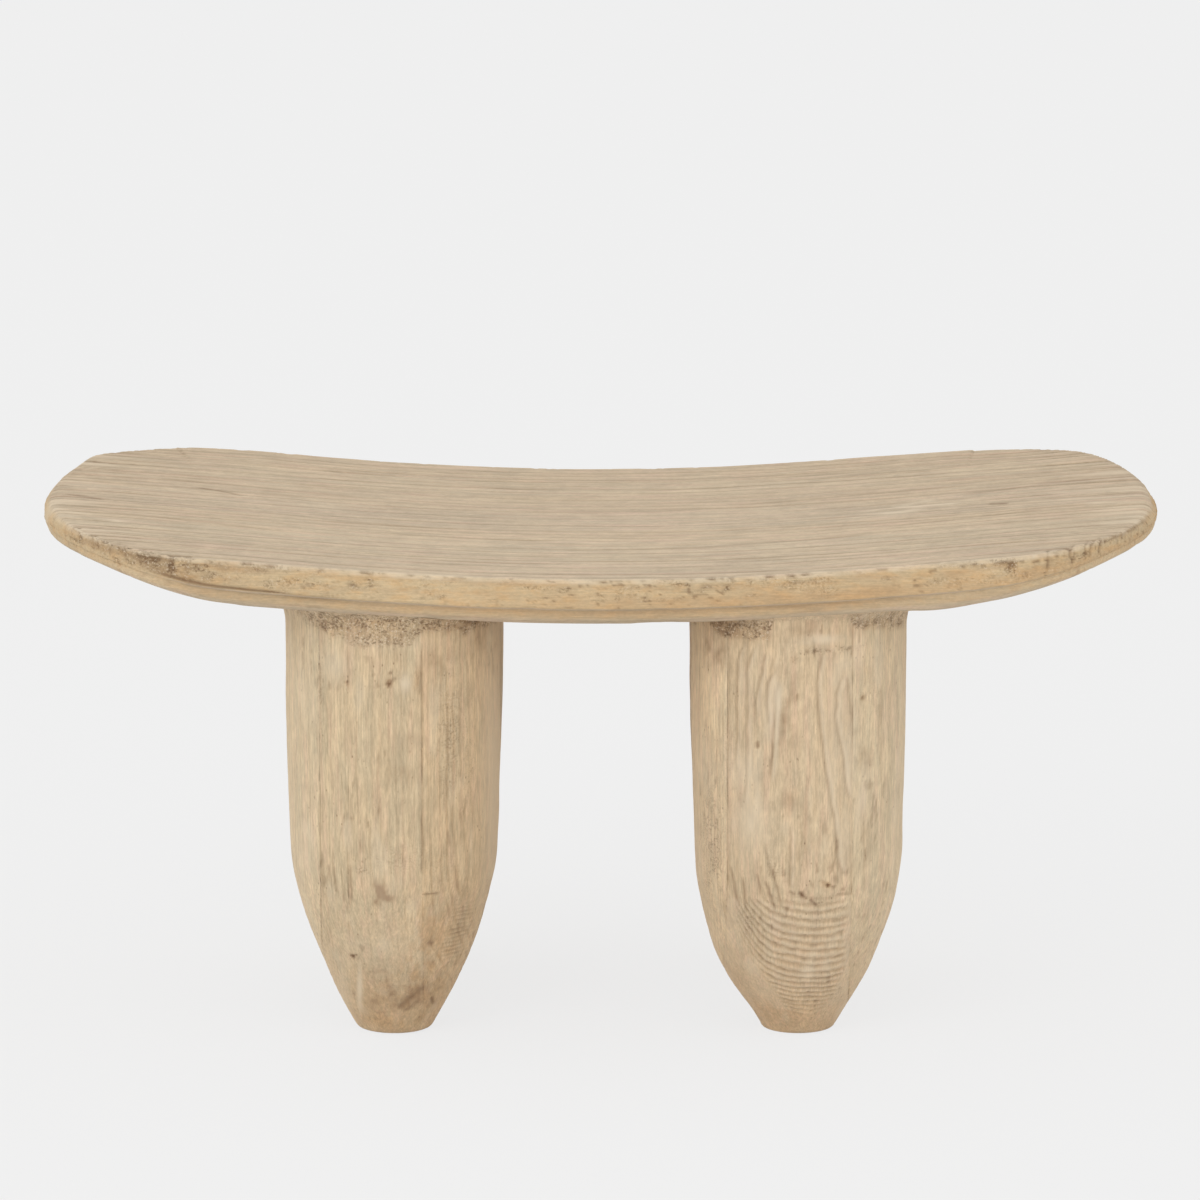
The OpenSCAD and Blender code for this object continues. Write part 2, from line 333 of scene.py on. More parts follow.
def patch(front, right, back, left):
    """Fills in between four runs of points. Rows go from left to right, and then to the back."""
    u = np.linspace(0, 1, len(front))[None, :, None]
    v = np.linspace(0, 1, len(right))[:, None, None]
    ruled = (1 - v) * front[None] + v * back[None] + (1 - u) * left[:, None] + u * right[:, None]
    corners = ((1 - u) * (1 - v) * front[0] + u * (1 - v) * front[-1]
               + (1 - u) * v * back[0] + u * v * back[-1])
    return (ruled - corners).reshape(-1, front.shape[1])


def border(columns, rows):
    """Indices of a patch's border points, once round from the front left corner."""
    front = np.arange(columns)
    right = np.arange(rows) * (columns + 1) + columns
    back = rows * (columns + 1) + np.arange(columns, 0, -1)
    left = np.arange(rows, 0, -1) * (columns + 1)
    return np.concatenate([front, right, back, left])


def patch_faces(columns, rows, first):
    """The quads of a patch whose points start at index first, facing up."""
    i, j = np.meshgrid(np.arange(columns), np.arange(rows))
    a = (j * (columns + 1) + i + first).ravel()
    return np.stack([a, a + 1, a + columns + 2, a + columns + 1], axis=1)


def round_trip(front, right, back, left):
    """The four runs joined into one closed loop, in the border's order."""
    return np.concatenate([front[:-1], right[:-1], back[:0:-1], left[:0:-1]])


def split_loop(loop, columns, rows):
    """The opposite of round_trip."""
    closed = np.concatenate([loop, loop[:1]])
    front = closed[:columns + 1]
    right = closed[columns:columns + rows + 1]
    back = closed[columns + rows:2 * columns + rows + 1][::-1]
    left = closed[2 * columns + rows:][::-1]
    return front, right, back, left


def from_the_rim(places, outline):
    """How far in each point lies from the outline, and how far the rim there faces left or right."""
    tree = KDTree(len(outline))
    for n, (x, y, angle) in enumerate(outline):
        tree.insert((x, y, 0), n)
    tree.balance()
    found = [tree.find((x, y, 0)) for x, y, z in places]
    inward = np.array([distance for place, n, distance in found])
    facing = np.cos(outline[[n for place, n, distance in found], 2])
    return inward, facing


def seat_skin():
    """The hewn seat as one closed mesh, still smooth."""
    outline = round_trip(*seat_runs())
    count = len(outline)
    rings = []
    for inset, depth in rim_profile(outline[:, 0]):
        x = outline[:, 0] - inset * np.cos(outline[:, 2])
        y = outline[:, 1] - inset * np.sin(outline[:, 2])
        rings.append(np.stack([x, y, depth], axis=1))
    top = patch(*split_loop(rings[0], LONG_STEPS, END_STEPS))
    points = [top]
    faces = patch_faces(LONG_STEPS, END_STEPS, 0).tolist()
    upper = border(LONG_STEPS, END_STEPS)
    used = len(top)
    for ring in rings[1:]:
        lower = used + np.arange(count)
        quads = np.stack([upper, lower, np.roll(lower, -1), np.roll(upper, -1)], axis=1)
        faces += quads.tolist()
        points.append(ring)
        upper = lower
        used += count
    coarse = rings[-1][::UNDER_SHARE].copy()
    coarse[:, :2] *= 1 - UNDER_STEP / np.hypot(coarse[:, 0], coarse[:, 1])[:, None]
    columns = LONG_STEPS // UNDER_SHARE
    rows = END_STEPS // UNDER_SHARE
    under = patch(*split_loop(coarse, columns, rows))
    inner = used + border(columns, rows)
    for n in range(len(inner)):
        fine = [upper[(UNDER_SHARE * n + k) % count] for k in range(UNDER_SHARE, -1, -1)]
        faces.append([int(v) for v in [inner[n], inner[(n + 1) % len(inner)]] + fine])
    points.append(under)
    faces += patch_faces(columns, rows, used)[:, ::-1].tolist()
    points = np.concatenate(points)
    places = np.stack([points[:, 0], points[:, 1], top_z(points[:, 0]) - points[:, 2]], axis=1)
    inward, facing = from_the_rim(places, outline)
    return places, faces, dict(below=points[:, 2], inward=inward, facing=facing)


def write(mesh, **layers):
    """Stores each array as a value on the mesh's points."""
    for layer, values in layers.items():
        data = mesh.attributes.new(layer, "FLOAT", "POINT").data
        data.foreach_set("value", np.asarray(values, np.float32))


def make_skin(name, places, faces, **layers):
    """A mesh that remembers each point's outward direction and other values on its points."""
    mesh = bpy.data.meshes.new(name)
    mesh.from_pydata(places.tolist(), [], faces)
    mesh.update()
    mesh.validate()
    normals = np.empty(len(places) * 3, np.float32)
    mesh.vertex_normals.foreach_get("vector", normals)
    mesh.attributes.new("outward", "FLOAT_VECTOR", "POINT").data.foreach_set("vector", normals)
    write(mesh, **layers)
    return mesh


places, faces, seat_layers = seat_skin()
seat_mesh = make_skin("seat_skin", places, faces, **seat_layers)
print("seat skin:", len(places), "points,", len(faces), "faces")

# %% [markdown]
# A leg is a turned form: a foot, a swollen taper, a softened shoulder and a long, slightly swollen
# shaft. The same half outline as in the CAD is swept round, in finer steps. Near the seat the rows
# follow the underside, found by shooting a ray up at it, and flare out into a small fillet, which is
# wider on the leg's outer side, where the seat's belly climbs away. Above it the leg goes on plain
# into its housing, and the tenon stands on top. The rows are closest where a leg shows most carving.

# %% The skin of a leg
shoulder_d = 165 * MM
shoulder_height = 133 * MM
shaft_swell = 1.6 * MM
taper_swell = {"left": 5.5 * MM, "right": 9 * MM}
shoulder_soft = 11 * MM
foot_d = 60 * MM
foot_round = 4 * MM
tenon_d = 38 * MM
tenon_length = 17 * MM
fillet = 4.5 * MM
flare = 15 * MM
flare_height = 30 * MM
tuck = 0.4 * MM
neck = 300 * MM
ray_start = 200 * MM
FLARE_TURNS = (11, 22, 33, 45, 56, 68, 79, 90)
ARC_STEPS = 200
FOOT_STEPS = 12
SHOULDER_STEPS = 16
AIM = 20  # the line through the shoulder is aimed at the point this many steps away
PLAIN_SHAFT = (145 * MM, 318 * MM)
FOOT_RINGS = (8 * MM, 17 * MM)


def swollen_line(a, b, swell, steps):
    """Points from a to b on an arc that bulges outwards by swell in the middle."""
    a = np.array(a)
    b = np.array(b)
    chord = np.hypot(*(b - a))
    radius = (chord ** 2 / 4 + swell ** 2) / (2 * swell)
    half_angle = math.asin(chord / 2 / radius)
    forward = (b - a) / chord
    inward = np.array([-forward[1], forward[0]])
    t = np.linspace(-half_angle, half_angle, steps + 1)[:, None]
    return (a + b) / 2 + forward * radius * np.sin(t) - inward * (radius * np.cos(t) - radius + swell)


def soft_corner(a, sharp, b, steps):
    """Points of a soft corner from a to b."""
    t = np.linspace(0, 1, steps + 1)[:, None]
    return a * (1 - t) ** 2 + sharp * 2 * t * (1 - t) + b * t ** 2


def leg_side(hand, top_r, leg_height, detail):
    """Radius and height of the leg's side, from the foot's edge to the top, at steps of detail."""
    shoulder = np.array([shoulder_d / 2, shoulder_height])
    taper = swollen_line([foot_d / 2, 0], shoulder, taper_swell[hand], ARC_STEPS)
    shaft = swollen_line(shoulder, [top_r, leg_height], shaft_swell, ARC_STEPS)
    foot = taper[0]

    def towards(start, end, distance):
        return start + (end - start) * distance / np.hypot(*(end - start))

    below = towards(shoulder, taper[-AIM], shoulder_soft)
    above = towards(shoulder, shaft[AIM], shoulder_soft)
    side = np.concatenate([
        soft_corner(foot - [foot_round, 0], foot, towards(foot, taper[1], foot_round), FOOT_STEPS),
        taper[(taper[:, 1] > foot_round) & (taper[:, 1] < below[1])],
        soft_corner(below, shoulder, above, SHOULDER_STEPS),
        shaft[shaft[:, 1] > above[1]],
    ])
    run = np.concatenate([[0], np.cumsum(np.hypot(*np.diff(side, axis=0).T))])
    wanted = [0]
    while wanted[-1] < run[-1]:
        height = np.interp(wanted[-1], run, side[:, 1])
        carved = height < PLAIN_SHAFT[0] or height > PLAIN_SHAFT[1]
        wanted.append(wanted[-1] + (detail if carved else 2 * detail))
    wanted[-1] = run[-1]
    return np.stack([np.interp(wanted, run, side[:, k]) for k in range(2)], axis=1)


seat_tree = BVHTree.FromPolygons(places.tolist(), faces)


def underside(x, y):
    """Height of the seat's underside over a point of the floor."""
    hit = seat_tree.ray_cast(Vector((x, y, ray_start)), Vector((0, 0, 1)))
    return hit[0].z


def leg_skin(name, turns, detail):
    """One leg with its fillet and tenon as a closed mesh, standing on the axis x = y = 0."""
    low, high = joint_box([f"{name}_{plank}" for plank in LEGS[name]])
    axis = (low[:2] + high[:2]) / 2
    top_r = (high[0] - low[0]) / 2
    leg_height = high[2] - tenon_length
    side = leg_side("left" if "left" in name else "right", top_r, leg_height, detail)
    angle = np.arange(turns) * 2 * math.pi / turns
    around = np.stack([np.cos(angle), np.sin(angle)], axis=1)
    under = np.array([underside(*(axis + top_r * d)) for d in around])
    share = np.clip(around[:, 0] * np.sign(axis[0]), 0, 1) ** 2
    reach = fillet + flare * share
    drop = fillet + flare_height * share
    under_out = np.array([underside(*(axis + (top_r + r) * d)) for r, d in zip(reach, around)])
    rings = []

    def ring(r, z):
        """Adds one ring of points. Its radius and its height may differ from turn to turn."""
        rings.append([np.broadcast_to(r, turns), np.broadcast_to(z, turns)])

    for r in FOOT_RINGS:
        ring(r, 0)
    for r, z in side[side[:, 1] < neck]:
        ring(r, z)
    stretch = (under - drop - neck) / (leg_height - neck)
    for z in side[side[:, 1] >= neck, 1]:
        level = neck + (z - neck) * stretch
        ring(np.interp(level, side[:, 1], side[:, 0]), level)
    side_r = np.interp(under, side[:, 1], side[:, 0])
    for turn in np.radians(FLARE_TURNS):
        out = 1 - math.cos(turn)
        seat_there = under + (under_out - under) * out
        ring(side_r + reach * out, seat_there - drop * (1 - math.sin(turn)))
    ring(side_r + reach, under_out + tuck)
    ring(side_r, under + tuck)
    shown = len(rings) - 1
    ring(top_r, leg_height)
    ring(tenon_d / 2, leg_height)
    ring(tenon_d / 2, leg_height + tenon_length)
    radius, height = np.array(rings).transpose(1, 0, 2)
    rows = len(rings)
    places = np.stack([radius * np.cos(angle), radius * np.sin(angle), height], axis=2).reshape(-1, 3)
    i, j = np.meshgrid(np.arange(turns), np.arange(rows - 1))
    a = (j * turns + i).ravel()
    b = (j * turns + (i + 1) % turns).ravel()
    faces = np.stack([a, b, b + turns, a + turns], axis=1).tolist()
    faces.append(list(range(turns - 1, -1, -1)))
    faces.append(list(range((rows - 1) * turns, rows * turns)))
    row = np.arange(rows)
    bare = np.repeat((row < shown) & (row > len(FOOT_RINGS)), turns)
    return make_skin(name, places, faces, bare=bare), axis


FINE = dict(turns=384, detail=1.35 * MM)
PLAIN = dict(turns=240, detail=2.6 * MM)
leg_skins = {name: leg_skin(name, **(FINE if "front" in name else PLAIN)) for name in LEGS}
for name, (mesh, axis) in leg_skins.items():
    print(name, len(mesh.vertices), "points, axis at", np.round(axis, 4))

# %% [markdown]
# Boards and planks are sawn out of these skins. A plane cuts the mesh, everything beyond it goes,
# and the hole is closed with one flat face, as a saw leaves it. Each piece is a closed solid of its
# own, so it could be lifted out and would look sawn on its glue faces.

# %% Saw a piece out of a skin
def saw(skin, name, axis, low, high, centre=(0, 0)):
    """The part of a skin between two planes across an axis, as a closed object."""
    bm = bmesh.new()
    bm.from_mesh(skin)
    for face in bm.faces:
        face.smooth = True
    for place, side in ((low, 1), (high, -1)):
        if place is None:
            continue
        point = Vector((0, 0, 0))
        point[axis] = place
        direction = Vector((0, 0, 0))
        direction[axis] = side
        everything = bm.verts[:] + bm.edges[:] + bm.faces[:]
        cut = bmesh.ops.bisect_plane(bm, geom=everything, dist=1e-7, plane_co=point,
                                     plane_no=direction, clear_inner=True)
        edges = [e for e in cut["geom_cut"] if isinstance(e, bmesh.types.BMEdge)]
        filled = bmesh.ops.holes_fill(bm, edges=edges, sides=0)
        for face in filled["faces"]:
            face.smooth = False
        for edge in edges:
            edge.smooth = False
    mesh = bpy.data.meshes.new(name)
    bm.to_mesh(mesh)
    bm.free()
    if any(centre):
        mesh.transform(Matrix.Translation((centre[0], centre[1], 0)))
    obj = bpy.data.objects.new(name + "_carved", mesh)
    bpy.context.scene.collection.objects.link(obj)
    return obj


def read(mesh, attribute, width=1):
    """A point attribute, or the places of the points, as a numpy array."""
    values = np.empty(len(mesh.vertices) * width, np.float32)
    if attribute == "places":
        mesh.vertices.foreach_get("co", values)
    elif width == 3:
        mesh.attributes[attribute].data.foreach_get("vector", values)
    else:
        mesh.attributes[attribute].data.foreach_get("value", values)
    values = values.astype(float)
    return values.reshape(-1, 3) if width == 3 else values


ON_SEAM = 0.001  # a point this near a glue plane lies on it, in millimetres


def slide_seam(shift, outward, move, cut, axis):
    """Points on a glue seam stay in its plane: they slide in it as far as the surface moves."""
    flat = outward[cut].copy()
    flat[:, axis] = 0
    steep = np.maximum((flat ** 2).sum(axis=1), 0.2)
    shift[cut] = flat * (move[cut] / steep)[:, None]


GUIDES = ("outward", "below", "inward", "facing", "bare")


def finish_carving(mesh, places, **layers):
    """Moves the points, in millimetres, and swaps the carver's guides for what materials read."""
    mesh.vertices.foreach_set("co", (places * MM).astype(np.float32).ravel())
    write(mesh, **layers)
    for guide in GUIDES:
        if guide in mesh.attributes:
            mesh.attributes.remove(mesh.attributes[guide])
    mesh.update()


print("seams to saw:", len(BOARDS) - 1, "in the seat and",
      sum(len(planks) - 1 for planks in LEGS.values()), "in the legs")

# %% [markdown]
# Growth rings are cylinders round the pith of the tree, and a board is cut somewhere outside it. So
# the ring number at a point is its distance from the pith divided by the ring spacing. A distant
# pith to the side gives upright lines, a pith far behind the face gives arches and loops, and a
# little wander keeps every line from being ruled. Whole numbers are where the soft wood has worn
# into a groove. Some years leave a deep groove and others hardly one.

# %% Growth rings and single marks
YEARS = np.random.default_rng(5).uniform(0, 1, 97) ** 1.6


def year_strength(rings):
    """How deep the groove of each year is, from 0.15 to 1."""
    return 0.15 + 0.85 * YEARS[np.round(rings).astype(int) % len(YEARS)]


def bell(away, width):
    """1 where away is 0, fading out on both sides over this width."""
    return np.exp(-(away / width) ** 2)


def groove(rings, width):
    """1 in the middle of a groove, at a whole number, and 0 between grooves."""
    return bell(rings - np.round(rings), width)


def blot(a, b, centre, size):
    """A soft round mark on a surface with the coordinates a and b."""
    return np.exp(-((a - centre[0]) / size[0]) ** 2 - ((b - centre[1]) / size[1]) ** 2)


def crack(a, b, start, end, width, waver=0.0):
    """1 along a straight crack that fades out at both ends. waver shifts it sideways."""
    start = np.array(start)
    along = np.array(end) - start
    length = np.hypot(*along)
    along = along / length
    t = (a - start[0]) * along[0] + (b - start[1]) * along[1]
    off = -(a - start[0]) * along[1] + (b - start[1]) * along[0] + waver
    inside = rise(t, -0.1 * length, 0.15 * length) * rise(length - t, -0.1 * length, 0.15 * length)
    return bell(off, width) * inside


print("deepest and shallowest years:", YEARS.max().round(2), YEARS.min().round(2))

# %% [markdown]
# A craftsman who ages a stool goes over it mark by mark, and so does this script. Marks are rows in
# tables, in round millimetres, and one function lays a whole table on. A blot is a place, two half
# sizes and a strength. A stroke is a start, an end, a width and a strength.

# %% Whole tables of marks
def marks(a, b, table):
    """The strongest of many blots at each point."""
    total = np.zeros_like(a)
    for centre_a, centre_b, size_a, size_b, strength in table:
        mark = strength * blot(a, b, (centre_a, centre_b), (size_a, size_b))
        total = np.where(np.abs(mark) > np.abs(total), mark, total)
    return total


def strokes(a, b, table, waver):
    """The strongest of many strokes at each point."""
    total = np.zeros_like(a)
    for start, end, width, strength in table:
        total = np.maximum(total, strength * crack(a, b, start, end, width, waver))
    return total


def nicks(x, table):
    """Short bites along an edge. Each row is a place and a length."""
    bitten = [np.exp(-((x - place) / (length / 2)) ** 4) for place, length in table]
    return np.max(bitten, axis=0)


def seams_at(places, edges, width):
    """1 on each glue seam, fading out on both sides."""
    return np.max([bell(places - edge, width) for edge in edges], axis=0)


def add_up(worn, table, column):
    """Adds up fields of wear, each times its number in a column of the table."""
    return sum(table[kind][column] * where for kind, where in worn.items())


print("a blot's middle and edge:", blot(np.array([0.0, 1.0]), 0, (0, 0), (1, 1)).round(2))

# %% [markdown]
# The seat's marks. Places on the rim are how far along the seat and how far below its top edge, and
# places on the top are along and across. The left front of the rim has a rotten, gouged stretch, and
# small chips follow to the right. The far ends are end grain that has torn apart in chunks. The
# hewer's hand also left the edge a little high in places and low in others.

# %% The marks on the seat
ROTTEN = [
    (-359, 9, 15, 7, 3.8), (-344, 12, 5, 7, 3.4), (-329, 10, 3, 8, 2.6), (-376, 8, 9, 5, 2.0),
    (-318, 11, 9, 4, 1.2), (-391, 9, 7, 5, 1.2), (-352, 17, 22, 5, 1.8), (-300, 6, 12, 4, 1.3),
    (-270, 5, 12, 3, 1.0), (-404, 9, 9, 6, 1.4), (-330, 18, 14, 4, 1.3), (-291, 15, 9, 4, 0.9),
]
CHIPS = [
    (327, 8, 3.5, 5, 3.6), (321, 4, 6, 2.2, 2.6), (313, 2, 5, 1.8, 2.0), (297, 3, 3, 2.2, 2.2),
    (288, 4, 2.5, 2, 2.0), (279, 2, 3, 2, 1.8), (270, 3, 2, 2, 1.2), (304, 5, 2, 2, 1.6),
    (262, 15, 3, 1.5, 1.4), (182, 20, 8, 2, 0.8), (156, 7, 5, 1.5, 0.9), (84, 7, 4, 2, 1.3),
    (100, 9, 2.5, 4, 1.2), (66, 5, 7, 1.4, 1.3), (72, 11, 12, 1.2, 0.8), (13, 16, 2, 2, 1.2),
    (-28, 8, 5, 1.6, 1.0), (-60, 7, 8, 1.2, 0.7), (-196, 12, 4, 3, 1.1), (-183, 9, 2.5, 3, 1.1),
    (-214, 14, 5, 1.6, 0.8), (-128, 17, 6, 1.4, 0.8), (120, 16, 6, 1.4, 0.8), (228, 9, 7, 1.4, 0.8),
]
HONEY = [
    (-30, 15, 16, 9, 1), (-38, 8, 20, 6, 1), (-294, 10, 12, 6, 0.7), (-5, 9, 30, 6, 0.8),
    (70, 18, 30, 5, 1), (-85, 10, 26, 7, 0.6), (30, 12, 24, 8, 0.9), (150, 14, 44, 8, 1),
    (215, 18, 40, 6, 1), (280, 12, 32, 7, 0.9), (330, 16, 30, 6, 0.9), (-235, 17, 30, 4, 0.2),
    (-350, 18, 40, 5, 0.8), (-410, 10, 24, 7, 1), (110, 8, 20, 5, 0.7),
]
EDGE_NICKS = [
    (52, 10), (71, 7), (88, 9), (104, 5), (118, 8), (134, 10), (151, 6), (163, 8), (24, 5), (5, 4),
    (-151, 7), (-187, 9), (-206, 6), (-222, 7), (239, 7), (205, 6), (-262, 8), (-281, 10), (-118, 5),
]
TOP_LINES = [
    ((-432, -6), (-402, -17), 2.6, 0.6), ((-328, 51), (-292, 38), 2.0, 0.7),
    ((314, -4), (330, -8), 2.4, 1.0), ((-190, -62), (-30, -66), 2.4, 0.4),
    ((-40, -100), (120, -94), 2.2, 0.5), ((96, -92), (210, -84), 2.2, 0.5),
    ((-300, -20), (-120, -36), 2.4, 0.35), ((120, 60), (300, 72), 2.4, 0.35),
    ((-60, 40), (90, 42), 2.2, 0.3), ((230, -60), (360, -40), 2.4, 0.35),
    ((-380, 80), (-200, 64), 2.4, 0.35), ((-130, 130), (60, 128), 2.4, 0.3),
    ((180, 140), (330, 150), 2.6, 0.3), ((300, 40), (410, 60), 2.6, 0.4),
    ((-410, -60), (-250, -84), 2.6, 0.35), ((-416, 124), (-413, 126), 2.0, 0.8),
]
SCUFFS = [
    ((196, -24), (262, -2), 8, 1.0), ((214, 4), (306, 13), 5, 1.0), ((236, 10), (272, 26), 5, 0.7),
    ((-40, -70), (20, -76), 5, 0.3), ((-300, 90), (-240, 84), 6, 0.3),
    ((-446, -60), (-380, -98), 6, 0.7), ((380, -70), (436, -62), 7, 0.7),
    ((392, -30), (440, -40), 5, 0.6), ((-440, 30), (-380, 22), 6, 0.4),
]
HUMPS = [
    (-283, 200, 60, 60, 1.3), (230, 200, 90, 60, 1.0), (352, 190, 44, 60, -1.4),
    (-385, 170, 50, 60, -0.8), (452, -20, 9, 60, -6.0), (-451, 0, 10, 60, -2.2),
]
CHUNK_EDGES = [
    (358, 1), (375.5, 0.8), (387, 0.7), (392, 0.7), (399, 0.9), (413, 0.35), (420, 0.3), (438, 0.25),
    (344, 0.3), (-342, 1), (-377, 0.6), (-390, 0.5), (-402, 0.5), (-414, 0.3),
]
LOWER_EDGE = [
    (266, -195, 26, 40, -2.6), (-408, 0, 45, 400, 4.6), (424, 0, 42, 400, 5.6),
]
RING_TILTS = (0.35, -0.2, 0.15, -0.1, 0.2, -0.3, 0.3)
RING_SPACINGS = (12.5, 14, 11.5, 13.125, 11.875, 13.75, 12.5)
FIRST_RING = 40
FINE_RINGS = 3
RIM_INSET = 0.3
HEWN_UP = 0.3
DEPTH = 0
DIRT = 1
SEAT_WEAR = {  # how deep each kind of wear goes, in millimetres, and how much dirt it holds
    "ridges": (0.8, 0.42), "rot": (1.0, 0.3), "rubble": (1.7, 0.35), "chips": (1.0, 0.42),
    "split": (1.8, 1.1), "bitten": (1.4, 0.8), "bites": (1.1, 0.45), "clefts": (1.5, 0.7),
    "pits": (0.7, 0.75), "lines": (0.5, 0.8), "seam": (0.4, 0.3),
}
print(len(ROTTEN) + len(CHIPS) + len(EDGE_NICKS), "marks on the rim,", len(TOP_LINES), "on the top")

# %% [markdown]
# Now the seat's surface. On the top, grooves run along the boards: a strong one every centimetre or
# so and two faint ones between. On the rim's face the rings are cut nearly flat, so it shows broad
# soft patches, pits and chips, and at the ends, where the rings meet the surface square on, they
# stand as upright ridges. All of it is one sum of depths, pushed in along the outward direction.
# The same fields, with other weights, say where dirt lies and where the wood is rubbed pale. A few
# lines are painted light and shade: a highlight along the top edge, shade under the lower arris
# and in the cove, and a shadow under the lip at the right end.

# %% Carve the seat boards
def board_rings(points, n):
    """Ring number on the n-th board from the front."""
    x, y, z = points.T
    height = z - top_z(x * MM) / MM
    bend = 3.4 * rough(points, (320, 60, 80), 2, 3.1)
    wave = 0.9 * rough(points, (60, 12, 30), 2, 5.7)
    return (y + RING_TILTS[n] * height + bend + wave) / RING_SPACINGS[n] + FIRST_RING


def between_chunks(x, width):
    """Clefts across the rim where chunks of end grain have torn apart."""
    return np.max([deep * bell(x - edge, width) for edge, deep in CHUNK_EDGES], axis=0)


def carve_board(obj, n):
    """Wears and marks one board of the seat. All lengths in here are in millimetres."""
    mesh = obj.data
    points = read(mesh, "places", 3) / MM
    outward = read(mesh, "outward", 3)
    below = read(mesh, "below") / MM
    inward = read(mesh, "inward") / MM
    facing = read(mesh, "facing")
    x, y, z = points.T
    face_height = rim_height / MM
    depth = below * seat_thickness / thickness(x * MM)
    seams = [edge / MM for edge in board_edges[1:-1]]
    noise, patches = noises_at(points)

    top = rise(outward[:, 2], 0.75, 0.95)
    under = rise(-outward[:, 2], 0.5, 0.9)
    rim = np.clip(1 - top - under, 0, 1)
    face = rim * (depth < face_height + 1)
    cove = rim * (1 - face)
    at_front = (y < 0).astype(float)
    front = face * at_front
    waver = lumps(points, (24, 24, 24), 2.0)
    lip = np.hypot(inward, below)
    edge = bell(lip, 3) * (below < 20)
    chunks = noise((6, 6, 3.6), 3, 9.5)
    shreds = noise((12, 12, 3.2), 3, 15.5)
    sideways = np.abs(facing)

    rings = board_rings(points, n)
    strength = year_strength(rings)
    fine_strength = year_strength(rings * FINE_RINGS + 31)
    worn_ends = 1 + 1.1 * ease(250, 440, x)
    coarse = groove(rings, 0.13) * strength * (0.3 + 0.7 * patches((80, 7, 30), 2, 17.0, -0.5, 0.5))
    fine = groove(rings * FINE_RINGS, 0.2) * fine_strength
    grain = top * worn_ends * (0.7 * coarse + 0.22 * fine)
    grain = grain + 0.35 * face * coarse * (1 - rise(sideways, 0.1, 0.4))

    side = np.where(x > 0, 1.0 - 0.65 * at_front, 0.5 - 0.3 * at_front)
    reach = bell(inward, 7) * (depth < face_height + 4)
    valley = 0.5 + 0.5 * np.cos(2 * math.pi * FINE_RINGS * rings)
    ridges = rise(sideways, 0.1, 0.34) * side * reach * valley ** 1.5 * (0.35 + 0.65 * fine_strength)
    rotten_run = rise(x, -432, -415) * rise(-x, 292, 318) * at_front
    tear = x + 2.2 * lumps(points, (9, 9, 7), 6.6) + 1.5 * waver
    clefts = between_chunks(tear, 1.2) * at_front * reach
    pits = patches((4.5, 3, 2.6), 2, 4.4, 0.45, 0.9) * patches((45, 45, 30), 1, 6.1, -0.3, 0.4)
    split = crack(x, depth, (-352, 21), (-205, 26), 1.8, 0.8 * waver)
    worn = {
        "ridges": ridges,
        "rot": marks(x, depth, ROTTEN) * rise(chunks, -0.45, 0.45) * front,
        "rubble": rotten_run * rise(-chunks, -0.2, 0.7) * reach * rise(22 - depth, 0, 5),
        "chips": marks(x, depth, CHIPS) * (0.35 + 0.65 * rise(chunks, -0.45, 0.45)) * front,
        "split": split * at_front * rim,
        "bitten": nicks(x, EDGE_NICKS) * rise(shreds, -0.6, 0.3) * edge * at_front,
        "bites": patches((7, 7, 7), 2, 3.9, 0.25, 0.75) * edge,
        "clefts": clefts * (1 - rise(depth, 15, 23)) * (inward < 9),
        "pits": pits * face,
        "lines": strokes(x, y, TOP_LINES, 1.6 * waver) * top,
        "seam": seams_at(y, seams, 0.9) * top * patches((90, 20, 20), 2, 7.7, -0.2, 0.7),
    }

    hewn = 0.5 * noise((80, 30, 30), 2, 1.3) * top + 0.7 * noise((26, 26, 10), 3, 2.2) * (rim + under)
    fibre = 0.14 * noise((36, 2.4, 2.4), 2, 8.8)
    move = np.minimum(hewn, HEWN_UP) + fibre - grain - RIM_INSET * rim - add_up(worn, SEAT_WEAR, DEPTH)
    move = move - 0.5 * rise(sideways, 0.9, 1.0) * rim - 0.3 * face * rise(shreds, 0.0, 0.9)
    move = np.minimum(move, 0)
    cut = np.min([np.abs(y - edge_y) for edge_y in seams], axis=0) < ON_SEAM
    shift = outward * move[:, None]
    slide_seam(shift, outward, move, cut, 1)
    # Where the lower edge was left high, the lift starts further up the face.
    lift = marks(x, y, LOWER_EDGE)
    from_depth = np.where(lift > 0, 8, 30)
    shift[:, 2] += marks(x, y, HUMPS) * (1 - rise(depth, 0, 22))
    shift[:, 2] += lift * rise(depth, from_depth, from_depth + 14)

    arris = (1 - rise(x, 170, 290)) * (1 - rise(-x, 330, 370))
    # Painted shade: a dark line just under the rim's lower arris, where the cove lies in the rim's
    # shadow.
    painted_arris_shade = bell(depth - face_height - 1.5, 2.6) * rim * at_front
    # Painted shadow: a dark line under the pale lip of the top edge at the right end.
    painted_lip_shadow = rise(x, 392, 402) * bell(lip - 2.4, 1.6) * at_front
    hollow = top * worn_ends * (0.6 * coarse + 0.36 * fine) + add_up(worn, SEAT_WEAR, DIRT)
    hollow = hollow + 0.16 * painted_arris_shade * arris + 0.45 * painted_lip_shadow * rim

